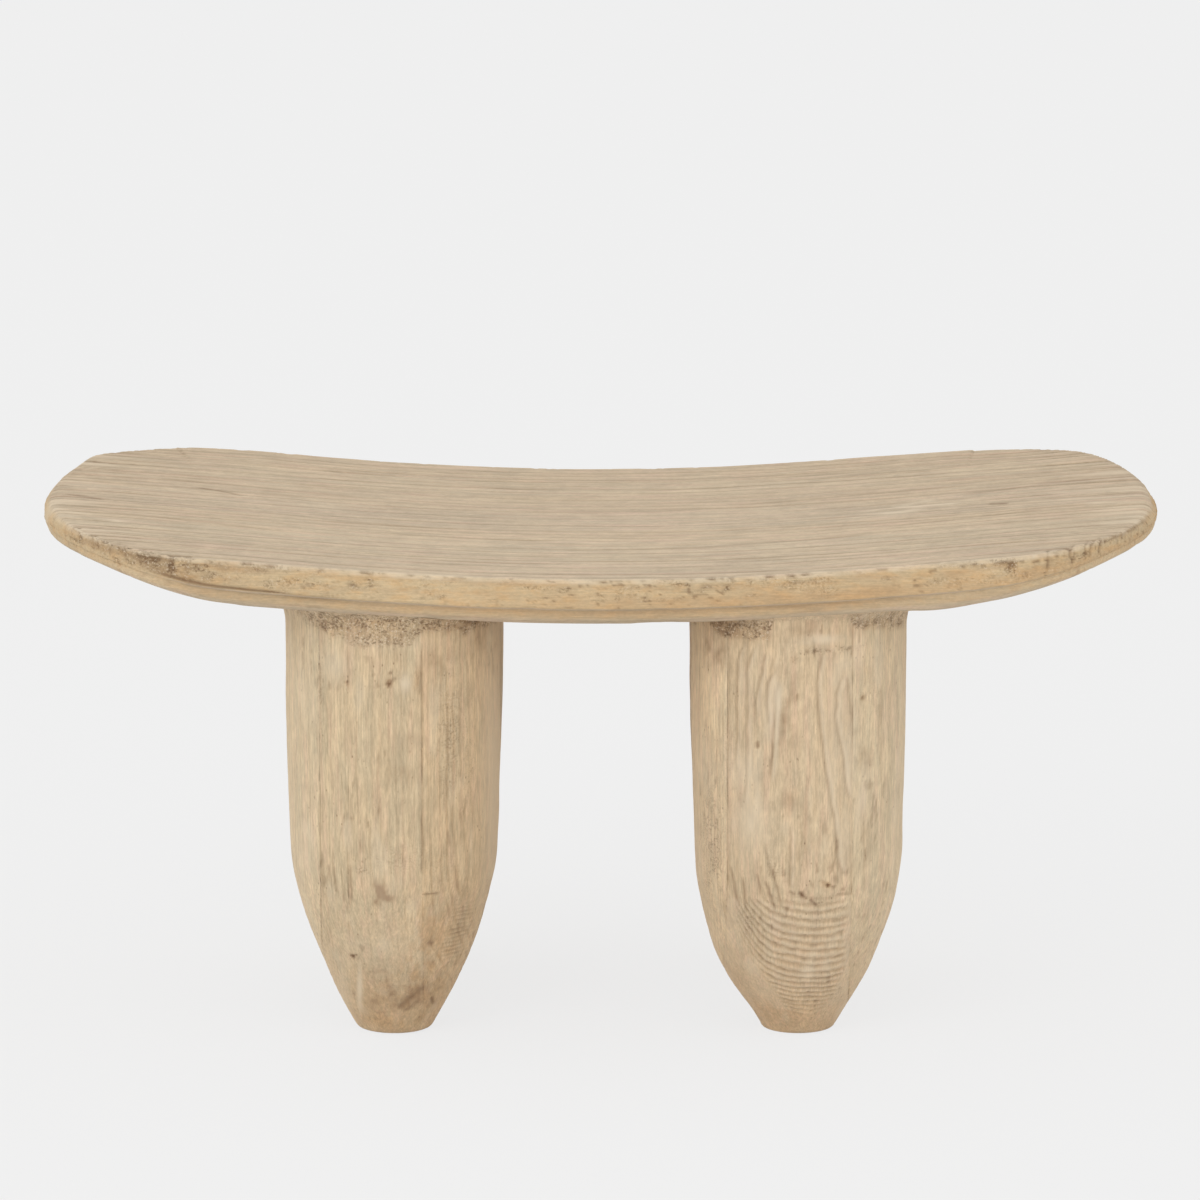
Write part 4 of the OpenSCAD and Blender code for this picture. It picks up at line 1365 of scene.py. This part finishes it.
LEG_MARKS = {
    "front_left_leg": dict(
        knots=[(-2, 305, 2.2, 3, 1.0), (30, 83, 4, 4.5, 0.9), (-36, 303, 1.6, 2, 0.9)],
        # Stains are dark patches. The rows (62, 346, ...), (46, 321, ...) and (72, 334, ...) under the
        # seat, and the upright band (13, 250, ...) and (10, 233, ...), are painted shade: under the
        # seat and towards the leg's shaded right side.
        stains_and_shade=[
            (-11, 130, 5, 8, 4.5), (-7, 126, 6, 3.5, 3.5), (-11, 122, 4, 4, 1.6), (4, 46, 24, 18, 1.0),
            (22, 43, 7, 6, 1.1), (6, 27, 16, 5, 0.9), (31, 29, 3, 7, 0.9), (62, 346, 22, 12, 1.0),
            (13, 250, 11, 64, 0.4), (10, 233, 8, 12, 0.7), (28, 72, 10, 22, 0.35),
            (44, 116, 14, 16, 0.3), (14, 34, 13, 8, 1.7), (-18, 29, 8, 8, 0.8), (21, 303, 4, 11, 0.2),
            (-70, 346, 14, 12, 0.4), (46, 321, 38, 11, 0.6), (72, 334, 14, 14, 0.9),
        ],
        reds=[
            (-32, 354, 8, 2.5, 1.0), (-13, 354, 9, 2, 0.7), (21, 302, 4, 11, 1.4), (30, 83, 5, 5, 1.0),
            (14, 34, 14, 9, 1.4), (0, 14, 26, 8, 0.9), (-8, 40, 18, 14, 0.5), (56, 126, 10, 20, 0.4),
            (-36, 96, 10, 8, 0.4), (30, 82, 20, 44, 1.2), (24, 60, 20, 30, 1.2),
        ],
        splits=[
            ((23.6, 332), (24.2, 262), 0.9, 0.55), ((23.8, 262), (23.8, 196), 0.8, 0.45),
            ((23.6, 200), (23.4, 148), 1.0, 0.7), ((23.6, 316), (23.8, 288), 1.2, 0.8),
            ((-57.5, 318), (-57.5, 280), 0.9, 0.5), ((-57.2, 160), (-57, 128), 0.8, 0.6),
            ((-35, 328), (-35, 296), 0.8, 0.5), ((-34.6, 152), (-34.4, 120), 0.9, 0.8),
            ((24, 128), (38, 127), 1.0, 0.9), ((-35, 70), (-33, 72), 2.0, 2.0),
            ((-34, 72), (-30, 73), 0.9, 1.4), ((-48, 152), (-46, 126), 0.7, 0.7),
            ((-42, 150), (-40, 120), 0.7, 0.7), ((-52, 150), (-50, 130), 0.7, 0.6),
            ((-38, 148), (-36, 124), 0.7, 0.6), ((8, 172), (8.5, 156), 1.0, 0.6),
            ((44, 180), (46, 166), 1.0, 0.6), ((30, 33), (31, 25), 1.4, 1.2),
            ((-4, 302), (-1, 305), 2.3, 1.5), ((-1, 305), (4, 309), 1.5, 0.7),
            ((-12, 304), (-11, 301), 1.4, 0.7), ((-2, 313), (0, 312), 1.4, 0.9),
            ((-16, 310), (-14, 311), 1.3, 0.6), ((-9, 296), (-8, 294), 1.3, 0.6),
            ((4, 25), (23, 43), 3.0, 0.85), ((9, 22), (20, 30), 2.0, 0.55),
            ((-14, 20), (4, 22), 1.6, 0.4), ((-20, 58), (-4, 60), 1.6, 0.25),
            ((-6, 46), (14, 45), 1.4, 0.3), ((28, 85), (32, 82), 2.2, 0.9),
            ((35, 39), (39, 41), 1.8, 0.7), ((18, 314), (22, 306), 1.0, 0.5),
            ((22, 307), (22.5, 294), 1.2, 0.6), ((-37, 302), (-35, 304), 1.5, 1.1),
            ((-4, 38), (2, 37), 1.2, 0.5), ((34, 58), (36, 48), 1.2, 0.5),
            ((50, 150), (52, 128), 1.4, 0.5), ((58, 138), (58, 120), 1.4, 0.4),
        ],
        pepper=[
            (46, 262, 9, 50, 0.9), (-57, 290, 3, 30, 0.6), (-24, 148, 10, 4, 1.0),
            (8, 160, 30, 14, 0.45), (40, 150, 14, 20, 0.4), (60, 240, 8, 60, 0.4),
            (4, 48, 22, 18, 0.4), (-2, 306, 18, 9, 0.3),
        ],
        # Pale marks are lighter wood. The rows (82, 210, ...) on the leg's shaded right edge and (-70,
        # 288, ...) and (-72, 152, ...) on its left edge are painted light.
        pale=[
            (-46, 316, 11, 14, 0.6), (11, 304, 5, 7, 0.9), (-28, 42, 2.4, 22, 1.0),
            (-30, 84, 14, 14, 0.3), (-4, 82, 30, 26, 0.28), (-14, 336, 40, 5, 0.2),
            (82, 210, 9, 110, 0.8), (-42, 35, 8, 30, 0.4), (-70, 288, 10, 26, 0.3),
            (-72, 152, 8, 20, 0.3),
        ],
        deep_neck=[(-14, 337, 34, 5, 0.5), (-52, 347, 10, 6, 1), (66, 350, 22, 6, 0.8)],
        bulges=[(83, 330, 30, 60, -1.8), (-50, 130, 30, 12, -0.9), (84, 120, 24, 30, -0.8)],
        ripples=[(56, 104, 8, 10, 1), (52, 90, 9, 9, 1), (47, 75, 9, 10, 1)],
        neck_floor=((-83, -66, -48, -38, 16, 26, 83), (352, 346, 338, 335, 335, 343, 340)),
    ),
    "front_right_leg": dict(
        knots=[
            (-6, 324, 3.5, 3.5, 0.35), (-34, 252, 1.6, 2.2, 1.0), (50, 289, 2.2, 2.5, 0.8),
            (-3, 294, 1.6, 3, 0.5), (23, 136, 2, 2, 1.0),
        ],
        # Stains are dark patches. The rows (-62, 345, ...) and (-70, 324, ...) under the seat are
        # painted shade, where the seat shades the leg.
        stains_and_shade=[
            (44, 262, 4, 26, 0.5), (50, 238, 10, 9, 0.9), (64, 262, 4, 26, 0.5),
            (-70, 160, 8, 46, 0.15), (-62, 345, 22, 9, 1.0), (-20, 344, 14, 6, 0.6),
            (0, 150, 6, 26, 0.25), (8, 354, 26, 6, 0.5), (-50, 60, 14, 24, 0.25), (0, 16, 26, 10, 0.1),
            (-6, 205, 7, 7, 0.6), (-56, 110, 6, 16, 0.5), (-11, 285, 8, 26, 1.5), (8, 348, 24, 6, 0.7),
            (-70, 324, 14, 15, 1.1), (54, 165, 7, 34, 0.5), (40, 165, 6, 30, 0.4),
            (44, 86, 12, 30, 0.4),
        ],
        reds=[
            (-58, 344, 22, 9, 0.7), (18, 344, 20, 5, 0.6), (-22, 306, 8, 8, 0.5), (52, 314, 4, 9, 0.6),
            (-6, 205, 8, 12, 0.5), (28, 260, 14, 60, 0.3), (6, 180, 10, 40, 0.3),
            (-20, 20, 34, 12, 0.6), (-52, 40, 12, 20, 0.5), (20, 138, 4, 3, 0.7), (6, 76, 36, 28, 1.0),
            (60, 344, 22, 8, 0.6),
        ],
        splits=[
            ((-9, 132), (-3, 129), 1.1, 0.9), ((-1, 131), (4, 127), 1.4, 1.2),
            ((3, 128), (6, 125), 1.2, 0.9), ((8, 125), (14, 119), 1.3, 1.2),
            ((15, 120), (15, 115), 1.0, 0.5), ((-22, 150), (-15, 120), 1.2, 0.8),
            ((-28, 140), (-19, 114), 1.2, 0.9), ((-34, 146), (-31, 128), 1.0, 0.7),
            ((-56, 148), (-48, 116), 1.0, 0.8), ((-46, 140), (-42, 114), 1.1, 0.8),
            ((-58, 320), (-58, 200), 0.7, 0.35), ((4, 330), (7, 331), 1.7, 0.7),
            ((11, 331), (13, 330), 1.8, 0.7), ((21, 330), (24, 331), 1.7, 0.8),
            ((37, 331), (41, 330), 1.6, 0.8), ((33, 146), (41, 147), 1.6, 0.5),
            ((22, 135), (24, 137), 1.8, 1.4), ((15, 141), (20, 139), 1.1, 0.5),
            ((26, 135), (29, 134), 1.3, 0.9), ((33, 132), (37, 131), 1.5, 0.8),
            ((30, 128), (42, 127), 1.1, 0.6), ((50, 291), (51, 287), 1.6, 1.0),
            ((-2, 296), (-3, 290), 1.2, 0.6), ((-34, 254), (-34, 250), 1.5, 1.2),
            ((-6, 212), (-5, 202), 1.2, 0.5), ((-48, 208), (-45, 198), 1.6, 0.5),
            ((-22, 206), (-21, 198), 1.4, 0.5), ((-77, 230), (-73, 218), 1.6, 0.4),
        ],
        trails=[
            (1.3, 0.75, [(17, 329), (15, 318), (14, 303), (14.5, 285), (16, 265), (18.5, 250),
                (20.5, 235), (22.5, 220), (25, 205), (27.5, 190), (29, 175), (30.5, 160), (32.5, 150),
                (36, 145)]),
            (1.2, 0.75, [(35.5, 311), (32, 305), (29.5, 295), (28.5, 280), (30, 265), (33, 250),
                (34.5, 240), (36, 225), (38.5, 212), (41, 206)]),
            (1.1, 0.5, [(35.5, 311), (38, 302), (40, 290), (41, 275), (41, 262)]),
            (1.1, 0.9, [(-18, 306), (-19.5, 290), (-20.5, 270), (-22, 250), (-23, 235), (-24, 222)]),
            (1.2, 0.6, [(-36, 334), (-41, 322), (-43, 311), (-43, 288), (-42, 250), (-44, 200)]),
            (1.2, 0.65, [(-27, 330), (-30, 320), (-33, 306), (-35, 290), (-36, 274)]),
            (1.3, 0.9, [(-24, 312), (-26, 301), (-27, 288), (-26, 266)]),
            (1.1, 0.6, [(-47, 333), (-50, 320), (-51, 288), (-51, 262), (-52, 228)]),
            (1.1, 0.4, [(-19, 330), (-22, 320), (-24, 314)]),
            (0.9, 0.6, [(-8, 186), (-7.5, 160), (-8.5, 132)]),
            (1.6, 0.3, [(8, 232), (5, 210), (4, 180), (6, 150)]),
        ],
        pepper=[
            (-70, 160, 9, 50, 1.3), (-20, 150, 8, 26, 0.6), (-58, 230, 10, 70, 0.4),
            (56, 290, 12, 26, 0.4), (-40, 100, 14, 16, 0.5), (6, 96, 20, 4, 0.5),
            (22, 331, 27, 2.6, 1.2), (-5, 325, 4, 4, 0.5),
        ],
        # The rows (-80, 150, ...) and (-77, 222, ...) on the leg's left edge, which the left leg
        # shades, are painted light.
        pale=[
            (18, 340, 14, 4, 0.9), (35, 282, 5, 24, 0.4), (37, 175, 4, 26, 0.4),
            (-40, 190, 14, 26, 0.7), (8, 338, 12, 3, 0.5), (50, 200, 8, 20, 0.3),
            (-19, 296, 2.5, 14, 0.6), (-80, 150, 8, 60, 0.4), (27, 260, 6, 60, 0.4),
            (34, 318, 10, 10, 0.5), (-46, 228, 14, 20, 0.6), (-77, 222, 9, 26, 0.5),
            (40, 242, 7, 32, 0.5), (8, 72, 34, 40, 0.32),
        ],
        deep_neck=[(-60, 346, 20, 9, 1), (66, 346, 18, 10, 0.8), (-20, 346, 16, 5, 0.6)],
        bulges=[
            (84, 345, 30, 50, -0.8), (-84, 330, 30, 60, -0.6), (83, 152, 30, 18, 1.2),
            (42, 20, 30, 22, -2.4), (-42, 14, 30, 22, -2.6), (-60, 120, 30, 20, 0.9),
        ],
        calm=[
            (22, 250, 26, 90, 0.9), (24, 190, 24, 44, 0.9), (-50, 50, 22, 34, 0.8),
            (-44, 20, 26, 20, 0.9),
        ],
        neck_floor=((-83, -60, -26, -18, 36, 44, 83), (340, 337, 340, 366, 366, 343, 339)),
    ),
}
REAR_MARKS = np.random.default_rng(23)


def rear_marks():
    """A few marks of each kind at random places, for a leg that the photograph hides."""
    def some(count):
        return zip(REAR_MARKS.uniform(-60, 60, count), REAR_MARKS.uniform(60, 300, count))
    return dict(
        knots=[(x, z, 3, 4, 0.8) for x, z in some(3)],
        stains_and_shade=[(x, z, 12, 22, 0.4) for x, z in some(4)],
        reds=[(x, z, 9, 14, 0.5) for x, z in some(4)],
        splits=[((x, z), (x + 1, z - 45), 1.1, 0.8) for x, z in some(5)],
        pepper=[(x, z, 10, 40, 0.5) for x, z in some(3)],
        deep_neck=[(0, 340, 200, 8, 0.7)],
        neck_floor=((-83, 83), (334, 334)),
    )


for leg, kinds in LEG_MARKS.items():
    print(leg, {kind: len(table) for kind, table in kinds.items() if kind != "neck_floor"})

# %% [markdown]
# A leg is carved like the seat: rings, marks and unevenness add up to one depth along the outward
# direction, and the same fields say where the dirt lies. Some light and shade is painted in as
# well: shade in the ring valleys and on the neck under the seat, and highlights on the ridges and
# beside the trails. The neck under the seat is stippled, as a gouge leaves it where nobody planes,
# and its lower end is ragged. Long trails are drawn through their places one by one, because those
# lines are what one recognises the leg by.

# %% Carve the leg planks
LEG_WEAR = {  # how deep each kind of wear goes, in millimetres, and how much dirt it holds
    "dents": (1.0, 0.36), "split": (0.8, 0.75), "seam": (0.3, 0.22), "shreds": (0.4, 0.5),
    "knot": (0.5, 0.0), "ripple": (0.8, 0.6),
}
RIPPLE_PITCH = 3.7
LEAN = {"front_left_leg": 0.8, "front_right_leg": -1.8}
LEAN_AT = 62
LEAN_REACH = 30


def trail(x, z, places, width):
    """1 along an upright line through these places, which fades out at both ends."""
    line_x, line_z = np.array(places[::-1]).T
    low, high = line_z[0], line_z[-1]
    inside = rise(z, low - 2, low + 8) * rise(-z, -high - 2, 8 - high)
    return bell(x - np.interp(z, line_z, line_x), width) * inside


def arc_rings(x, z):
    """Ring number on the tapering front of the right leg's core, and where those arcs show."""
    drop = 0.0044 * (x - LOWEST_POINT) ** 2 + 0.025 * np.maximum(STEEP_FROM - x, 0) ** 2
    left_end = np.interp(z, *ARC_LEFT_END)
    right_end = np.interp(z, *ARC_RIGHT_END)
    shown = rise(x, left_end - 4, left_end + 6) * (1 - rise(x, right_end - 6, right_end + 4))
    return np.interp(z - drop, ARCS, np.arange(len(ARCS))), shown


def leg_rings(local, plank, marked, knots, seed):
    """Ring number on a plank. A knot pushes the rings aside."""
    x, y, z = local.T
    distance = np.hypot(x - plank["pith"][0], y - plank["pith"][1])
    bend = plank["wander"] * rough(local, (30, 30, 160), 3, seed)
    jagged = 0.12 * rough(local, (2.6, 2.6, 14), 2, seed + 4)
    rings = distance / plank["spacing"] + bend + jagged
    for knot_x, knot_z, wide, tall, strength in knots:
        rings = rings + 1.5 * blot(x, z, (knot_x, knot_z), (2.6 * wide, 3.2 * tall)) * marked
    return rings


def carve_plank(obj, name, leg, axis, seams, listed):
    """Wears and marks one plank of a leg. All lengths in here are in millimetres."""
    mesh = obj.data
    points = read(mesh, "places", 3) / MM
    outward = read(mesh, "outward", 3)
    bare = read(mesh, "bare")
    plank = PLANKS.get(name, USUAL_PLANK)
    local = points - [axis[0], axis[1], 0]
    x, y, z = local.T
    marked = (y < 0 if "front" in leg else y > 0).astype(float)
    seed = 3.7 * (list(LEGS).index(leg) + 1)
    noise, patches = noises_at(local, seed)

    def listed_here(kind):
        return marks(x, z, listed.get(kind, [])) * marked

    rings = leg_rings(local, plank, marked, listed["knots"], seed)
    valley = groove(rings, 0.27)
    strength = year_strength(rings)
    taper_ends = z + 5 * lumps(local, (12, 12, 12), seed + 12)
    taper = (1 - rise(taper_ends, 116, 134)) * (plank["pith"] == NEAR_AXIS)
    if name == "front_right_leg_core":
        arcs, shown = arc_rings(x, z + 1.2 * noise((16, 16, 9), 2, 13))
        arc_valley = groove(arcs + 0.1 * noise((3, 3, 3), 2, 14), 0.24) * shown * marked
        valley = valley + (arc_valley - valley) * taper
        strength = strength + (0.7 + 0.3 * year_strength(arcs + 11) - strength) * taper
    side = bare * rise(1 - np.abs(outward[:, 2]), 0.0, 0.3)
    waver = lumps(local, (20, 20, 14), seed)

    ragged = z + 5 * noise((14, 14, 14), 2, 1)
    neck_floor = np.interp(x, *listed["neck_floor"])
    neck = rise(ragged, neck_floor - 2, neck_floor + 4) * marked
    neck = np.maximum(neck, 0.5 * rise(ragged, 332, 340) * (1 - marked))
    heavy = listed_here("deep_neck")
    sandy = listed_here("pepper")
    knot = listed_here("knots")
    pitted = noise((3.4, 3.4, 2.8), 2, 2)
    split = strokes(x, z, listed["splits"], 0.8 * waver) * marked
    wavy = x + 0.9 * lumps(local, (6, 6, 9), seed + 7) * marked
    # Painted highlight: a pale band on the left side of each trail, where its relief would catch the
    # light.
    painted_trail_highlight = np.zeros_like(x)
    for width, dark, places in listed.get("trails", []):
        split = np.maximum(split, dark * trail(wavy, z, places, width) * marked)
        painted_trail_highlight = np.maximum(painted_trail_highlight, dark * trail(wavy - 2.6, z, places, 1.5 * width) * marked)
    ripple = 0.5 + 0.5 * np.cos(2 * math.pi * (z + waver) / RIPPLE_PITCH)
    shreds = patches((3, 3, 11), 3, 3, 0.35, 0.95) * patches((34, 34, 60), 2, 6, 0.0, 0.6)
    kept_seam = rise(lumps(local, (20, 20, 34), seed + 8), -0.4, 0.5)
    worn = {
        "dents": rise(pitted, 0.15 - 0.35 * heavy, 0.75) * neck + 0.7 * rise(pitted, 0.35, 0.9) * sandy,
        "split": split,
        "seam": seams_at(points[:, 0], seams, 0.8) * kept_seam,
        "shreds": shreds,
        "knot": knot,
        "ripple": ripple * listed_here("ripples"),
    }

    relief = plank["relief"] * (1 + 1.5 * taper) * (1 - neck) * rise(z, 8, 40)
    relief = relief * (1 - np.clip(listed_here("calm"), 0, 1))
    hewn = 0.55 * noise((34, 34, 50), 3, 0)
    fibre = 0.12 * noise((2.4, 2.4, 40), 2, 0)
    deep = relief * valley * (0.4 + 0.6 * strength) + add_up(worn, LEG_WEAR, DEPTH)
    bulge = marks(x, z, listed.get("bulges", []))
    move = (hewn - deep + fibre + bulge) * side
    cut = np.min([np.abs(points[:, 0] - edge) for edge in seams], axis=0) < ON_SEAM
    shift = outward * move[:, None]
    slide_seam(shift, outward, move, cut, 0)
    shift[:, 0] += LEAN.get(leg, 0) * bell(z - LEAN_AT, LEAN_REACH)

    # The ring valleys are darker: partly dirt that the grooves hold, partly painted shade in place of
    # the shading that the shallow relief gives under soft light.
    groove_patches = 0.6 + 0.7 * patches((9, 9, 3), 2, 10, 0.0, 0.9)
    hollow = 0.5 * relief * valley * strength * groove_patches + add_up(worn, LEG_WEAR, DIRT)
    hollow = hollow + 0.5 * heavy * worn["dents"]
    # Painted highlight on the tops of the ring ridges on the taper.
    painted_ridge_highlight = 0.24 * relief * (1 - rise(valley, 0.02, 0.4)) * taper * rise(strength, 0.5, 0.9)
    bare_wood = 0.35 * patches((14, 14, 40), 2, 4, 0.4, 1.0)
    pale = bare_wood + painted_ridge_highlight + 0.6 * painted_trail_highlight + listed_here("pale")
    stain_and_shade = listed_here("stains_and_shade") * patches((10, 10, 14), 3, 9, -0.9, 0.5)
    stain_and_shade = stain_and_shade * (0.5 + 0.7 * patches((4, 4, 6), 2, 15, -0.7, 0.7))
    red = listed_here("reds") * patches((7, 7, 10), 3, 5, -0.7, 0.4)
    foot = 1 - rise(z, 12, 90)
    finish_carving(
        mesh,
        points + shift,
        rings=rings,
        hollow=np.clip(hollow, 0, 1.3) * side,
        pale=np.clip(pale, 0, 1) * side,
        # Painted shade: the neck under the seat is darkened with the honey tone and with smudge, on top
        # of its stippled wood.
        honey=np.clip(0.9 * knot + 0.8 * red + 0.5 * foot + 0.35 * neck, 0, 1),
        face=0 * x,
        stipple=np.clip(neck + 0.5 * sandy, 0, 1) * side,
        smudge=np.clip(stain_and_shade + 0.8 * knot ** 3 + 0.22 * neck, 0, 1.4),
    )


print("kinds of wear on a leg:", list(LEG_WEAR))

# %% [markdown]
# The planks: sawn out of their leg's skin where the CAD has the glue seams, carved and dressed. A
# plank without an entry of its own, such as each one of the rear legs, is cut as the usual plank.

# %% Make the leg planks
for leg, planks in LEGS.items():
    skin, axis = leg_skins[leg]
    edges = [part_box(f"{leg}_{plank}")[0].x for plank in planks][1:]
    cuts = [None] + [edge - axis[0] for edge in edges] + [None]
    seams = [edge / MM for edge in edges]
    listed = LEG_MARKS[leg] if leg in LEG_MARKS else rear_marks()
    for n, plank in enumerate(planks):
        name = f"{leg}_{plank}"
        piece = saw(skin, name, 0, cuts[n], cuts[n + 1], axis)
        carve_plank(piece, name, leg, axis / MM, seams, listed)
        cut_as = PLANKS.get(name, USUAL_PLANK)
        dress(piece, name, leg_wood(name, cut_as["tone"], cut_as["lines"]))

# %% [markdown]
# The floor and the light. The photograph has a plain pale ground and soft light that comes a little
# from the left. The floor shows a fixed pale colour to the camera, mixed with its real lit surface,
# so that the shadow stays but stays faint.

# %% Floor, world and lamps
BACKDROP = srgb(239, 239, 239)
FLOOR_GROUND = srgb(226, 226, 226)
FLOOR_GLOW = (0.893, 0.893, 0.893, 1)
GLOW_SHARE = 0.86
FLOOR_SIZE = 40.0
FLOOR_DROP = 0.2 * MM
WORLD_STRENGTH = 0.86
SOFTBOX_SIZE = 3.0
SOFTBOX_AIM = Vector((0, 0, 0.3))


def make_floor():
    """A plain pale plane under the feet."""
    bm = bmesh.new()
    bmesh.ops.create_grid(bm, x_segments=1, y_segments=1, size=FLOOR_SIZE / 2)
    mesh = bpy.data.meshes.new("floor")
    bm.to_mesh(mesh)
    bm.free()
    floor = bpy.data.objects.new("floor", mesh)
    floor.location.z = -FLOOR_DROP
    bpy.context.scene.collection.objects.link(floor)
    bench = Bench("pale_floor")
    bench.plug(bench.shader.inputs["Base Color"], FLOOR_GROUND)
    bench.plug(bench.shader.inputs["Roughness"], 0.9)
    glow = bench.node("ShaderNodeEmission", Color=FLOOR_GLOW)
    seen = bench.node("ShaderNodeLightPath").outputs["Is Camera Ray"]
    mixer = bench.node("ShaderNodeMixShader")
    bench.plug(mixer.inputs[0], bench.times(seen, GLOW_SHARE))
    bench.plug(mixer.inputs[1], bench.shader.outputs[0])
    bench.plug(mixer.inputs[2], glow.outputs[0])
    bench.plug(bench.tree.nodes["Material Output"].inputs["Surface"], mixer.outputs[0])
    mesh.materials.append(bench.material)


def make_world(strength):
    """An even, nearly white surround."""
    world = bpy.data.worlds.new("studio")
    bpy.context.scene.world = world
    world.use_nodes = True
    background = world.node_tree.nodes["Background"]
    path = world.node_tree.nodes.new("ShaderNodeLightPath")
    mixer = world.node_tree.nodes.new("ShaderNodeMixShader")
    seen = world.node_tree.nodes.new("ShaderNodeBackground")
    background.inputs["Color"].default_value = (1, 1, 1, 1)
    background.inputs["Strength"].default_value = strength
    seen.inputs["Color"].default_value = BACKDROP
    links = world.node_tree.links
    links.new(path.outputs["Is Camera Ray"], mixer.inputs[0])
    links.new(background.outputs[0], mixer.inputs[1])
    links.new(seen.outputs[0], mixer.inputs[2])
    links.new(mixer.outputs[0], world.node_tree.nodes["World Output"].inputs["Surface"])


def softbox(name, place, watts):
    """A square area lamp that points at the stool."""
    data = bpy.data.lights.new(name, "AREA")
    data.energy = watts
    data.size = SOFTBOX_SIZE
    lamp = bpy.data.objects.new(name, data)
    lamp.location = place
    aim = SOFTBOX_AIM - lamp.location
    lamp.rotation_euler = aim.to_track_quat("-Z", "Y").to_euler()
    bpy.context.scene.collection.objects.link(lamp)


make_floor()
make_world(WORLD_STRENGTH)
softbox("key_softbox", (-2.8, -4.2, 2.9), 70)
softbox("fill_softbox", (4.2, -3.4, 1.4), 26)

# %% [markdown]
# The camera stands ten metres off with a long lens and looks down by nearly thirteen degrees. In
# the photograph the sides of the legs are upright and the near and far ends of the seat are almost
# the same size, which says that the camera was far away.

# %% The camera
PHOTO_PIXELS = 1200
SENSOR_WIDTH = 36
PIXELS_PER_METRE = 1233.3
DISTANCE = 10.0
TILT = math.radians(12.9)
SEAT_MIDDLE_AT = (600.5, 523.0)

forward = Vector((0, math.cos(TILT), -math.sin(TILT)))
upward = Vector((0, math.sin(TILT), math.cos(TILT)))
rightward = Vector((1, 0, 0))
off_right = (SEAT_MIDDLE_AT[0] - PHOTO_PIXELS / 2) / PIXELS_PER_METRE
off_up = (PHOTO_PIXELS / 2 - SEAT_MIDDLE_AT[1]) / PIXELS_PER_METRE
target = Vector((0, 0, seat_height)) - rightward * off_right - upward * off_up
camera_data = bpy.data.cameras.new("camera")
camera_data.sensor_width = SENSOR_WIDTH
camera_data.lens = SENSOR_WIDTH * DISTANCE * PIXELS_PER_METRE / PHOTO_PIXELS
camera_data.clip_end = 100
camera = bpy.data.objects.new("camera", camera_data)
camera.location = target - forward * DISTANCE
camera.rotation_euler = forward.to_track_quat("-Z", "Y").to_euler()
bpy.context.scene.collection.objects.link(camera)
bpy.context.scene.camera = camera
bpy.context.scene.view_settings.view_transform = "Standard"
print("lens:", round(camera_data.lens), "mm")
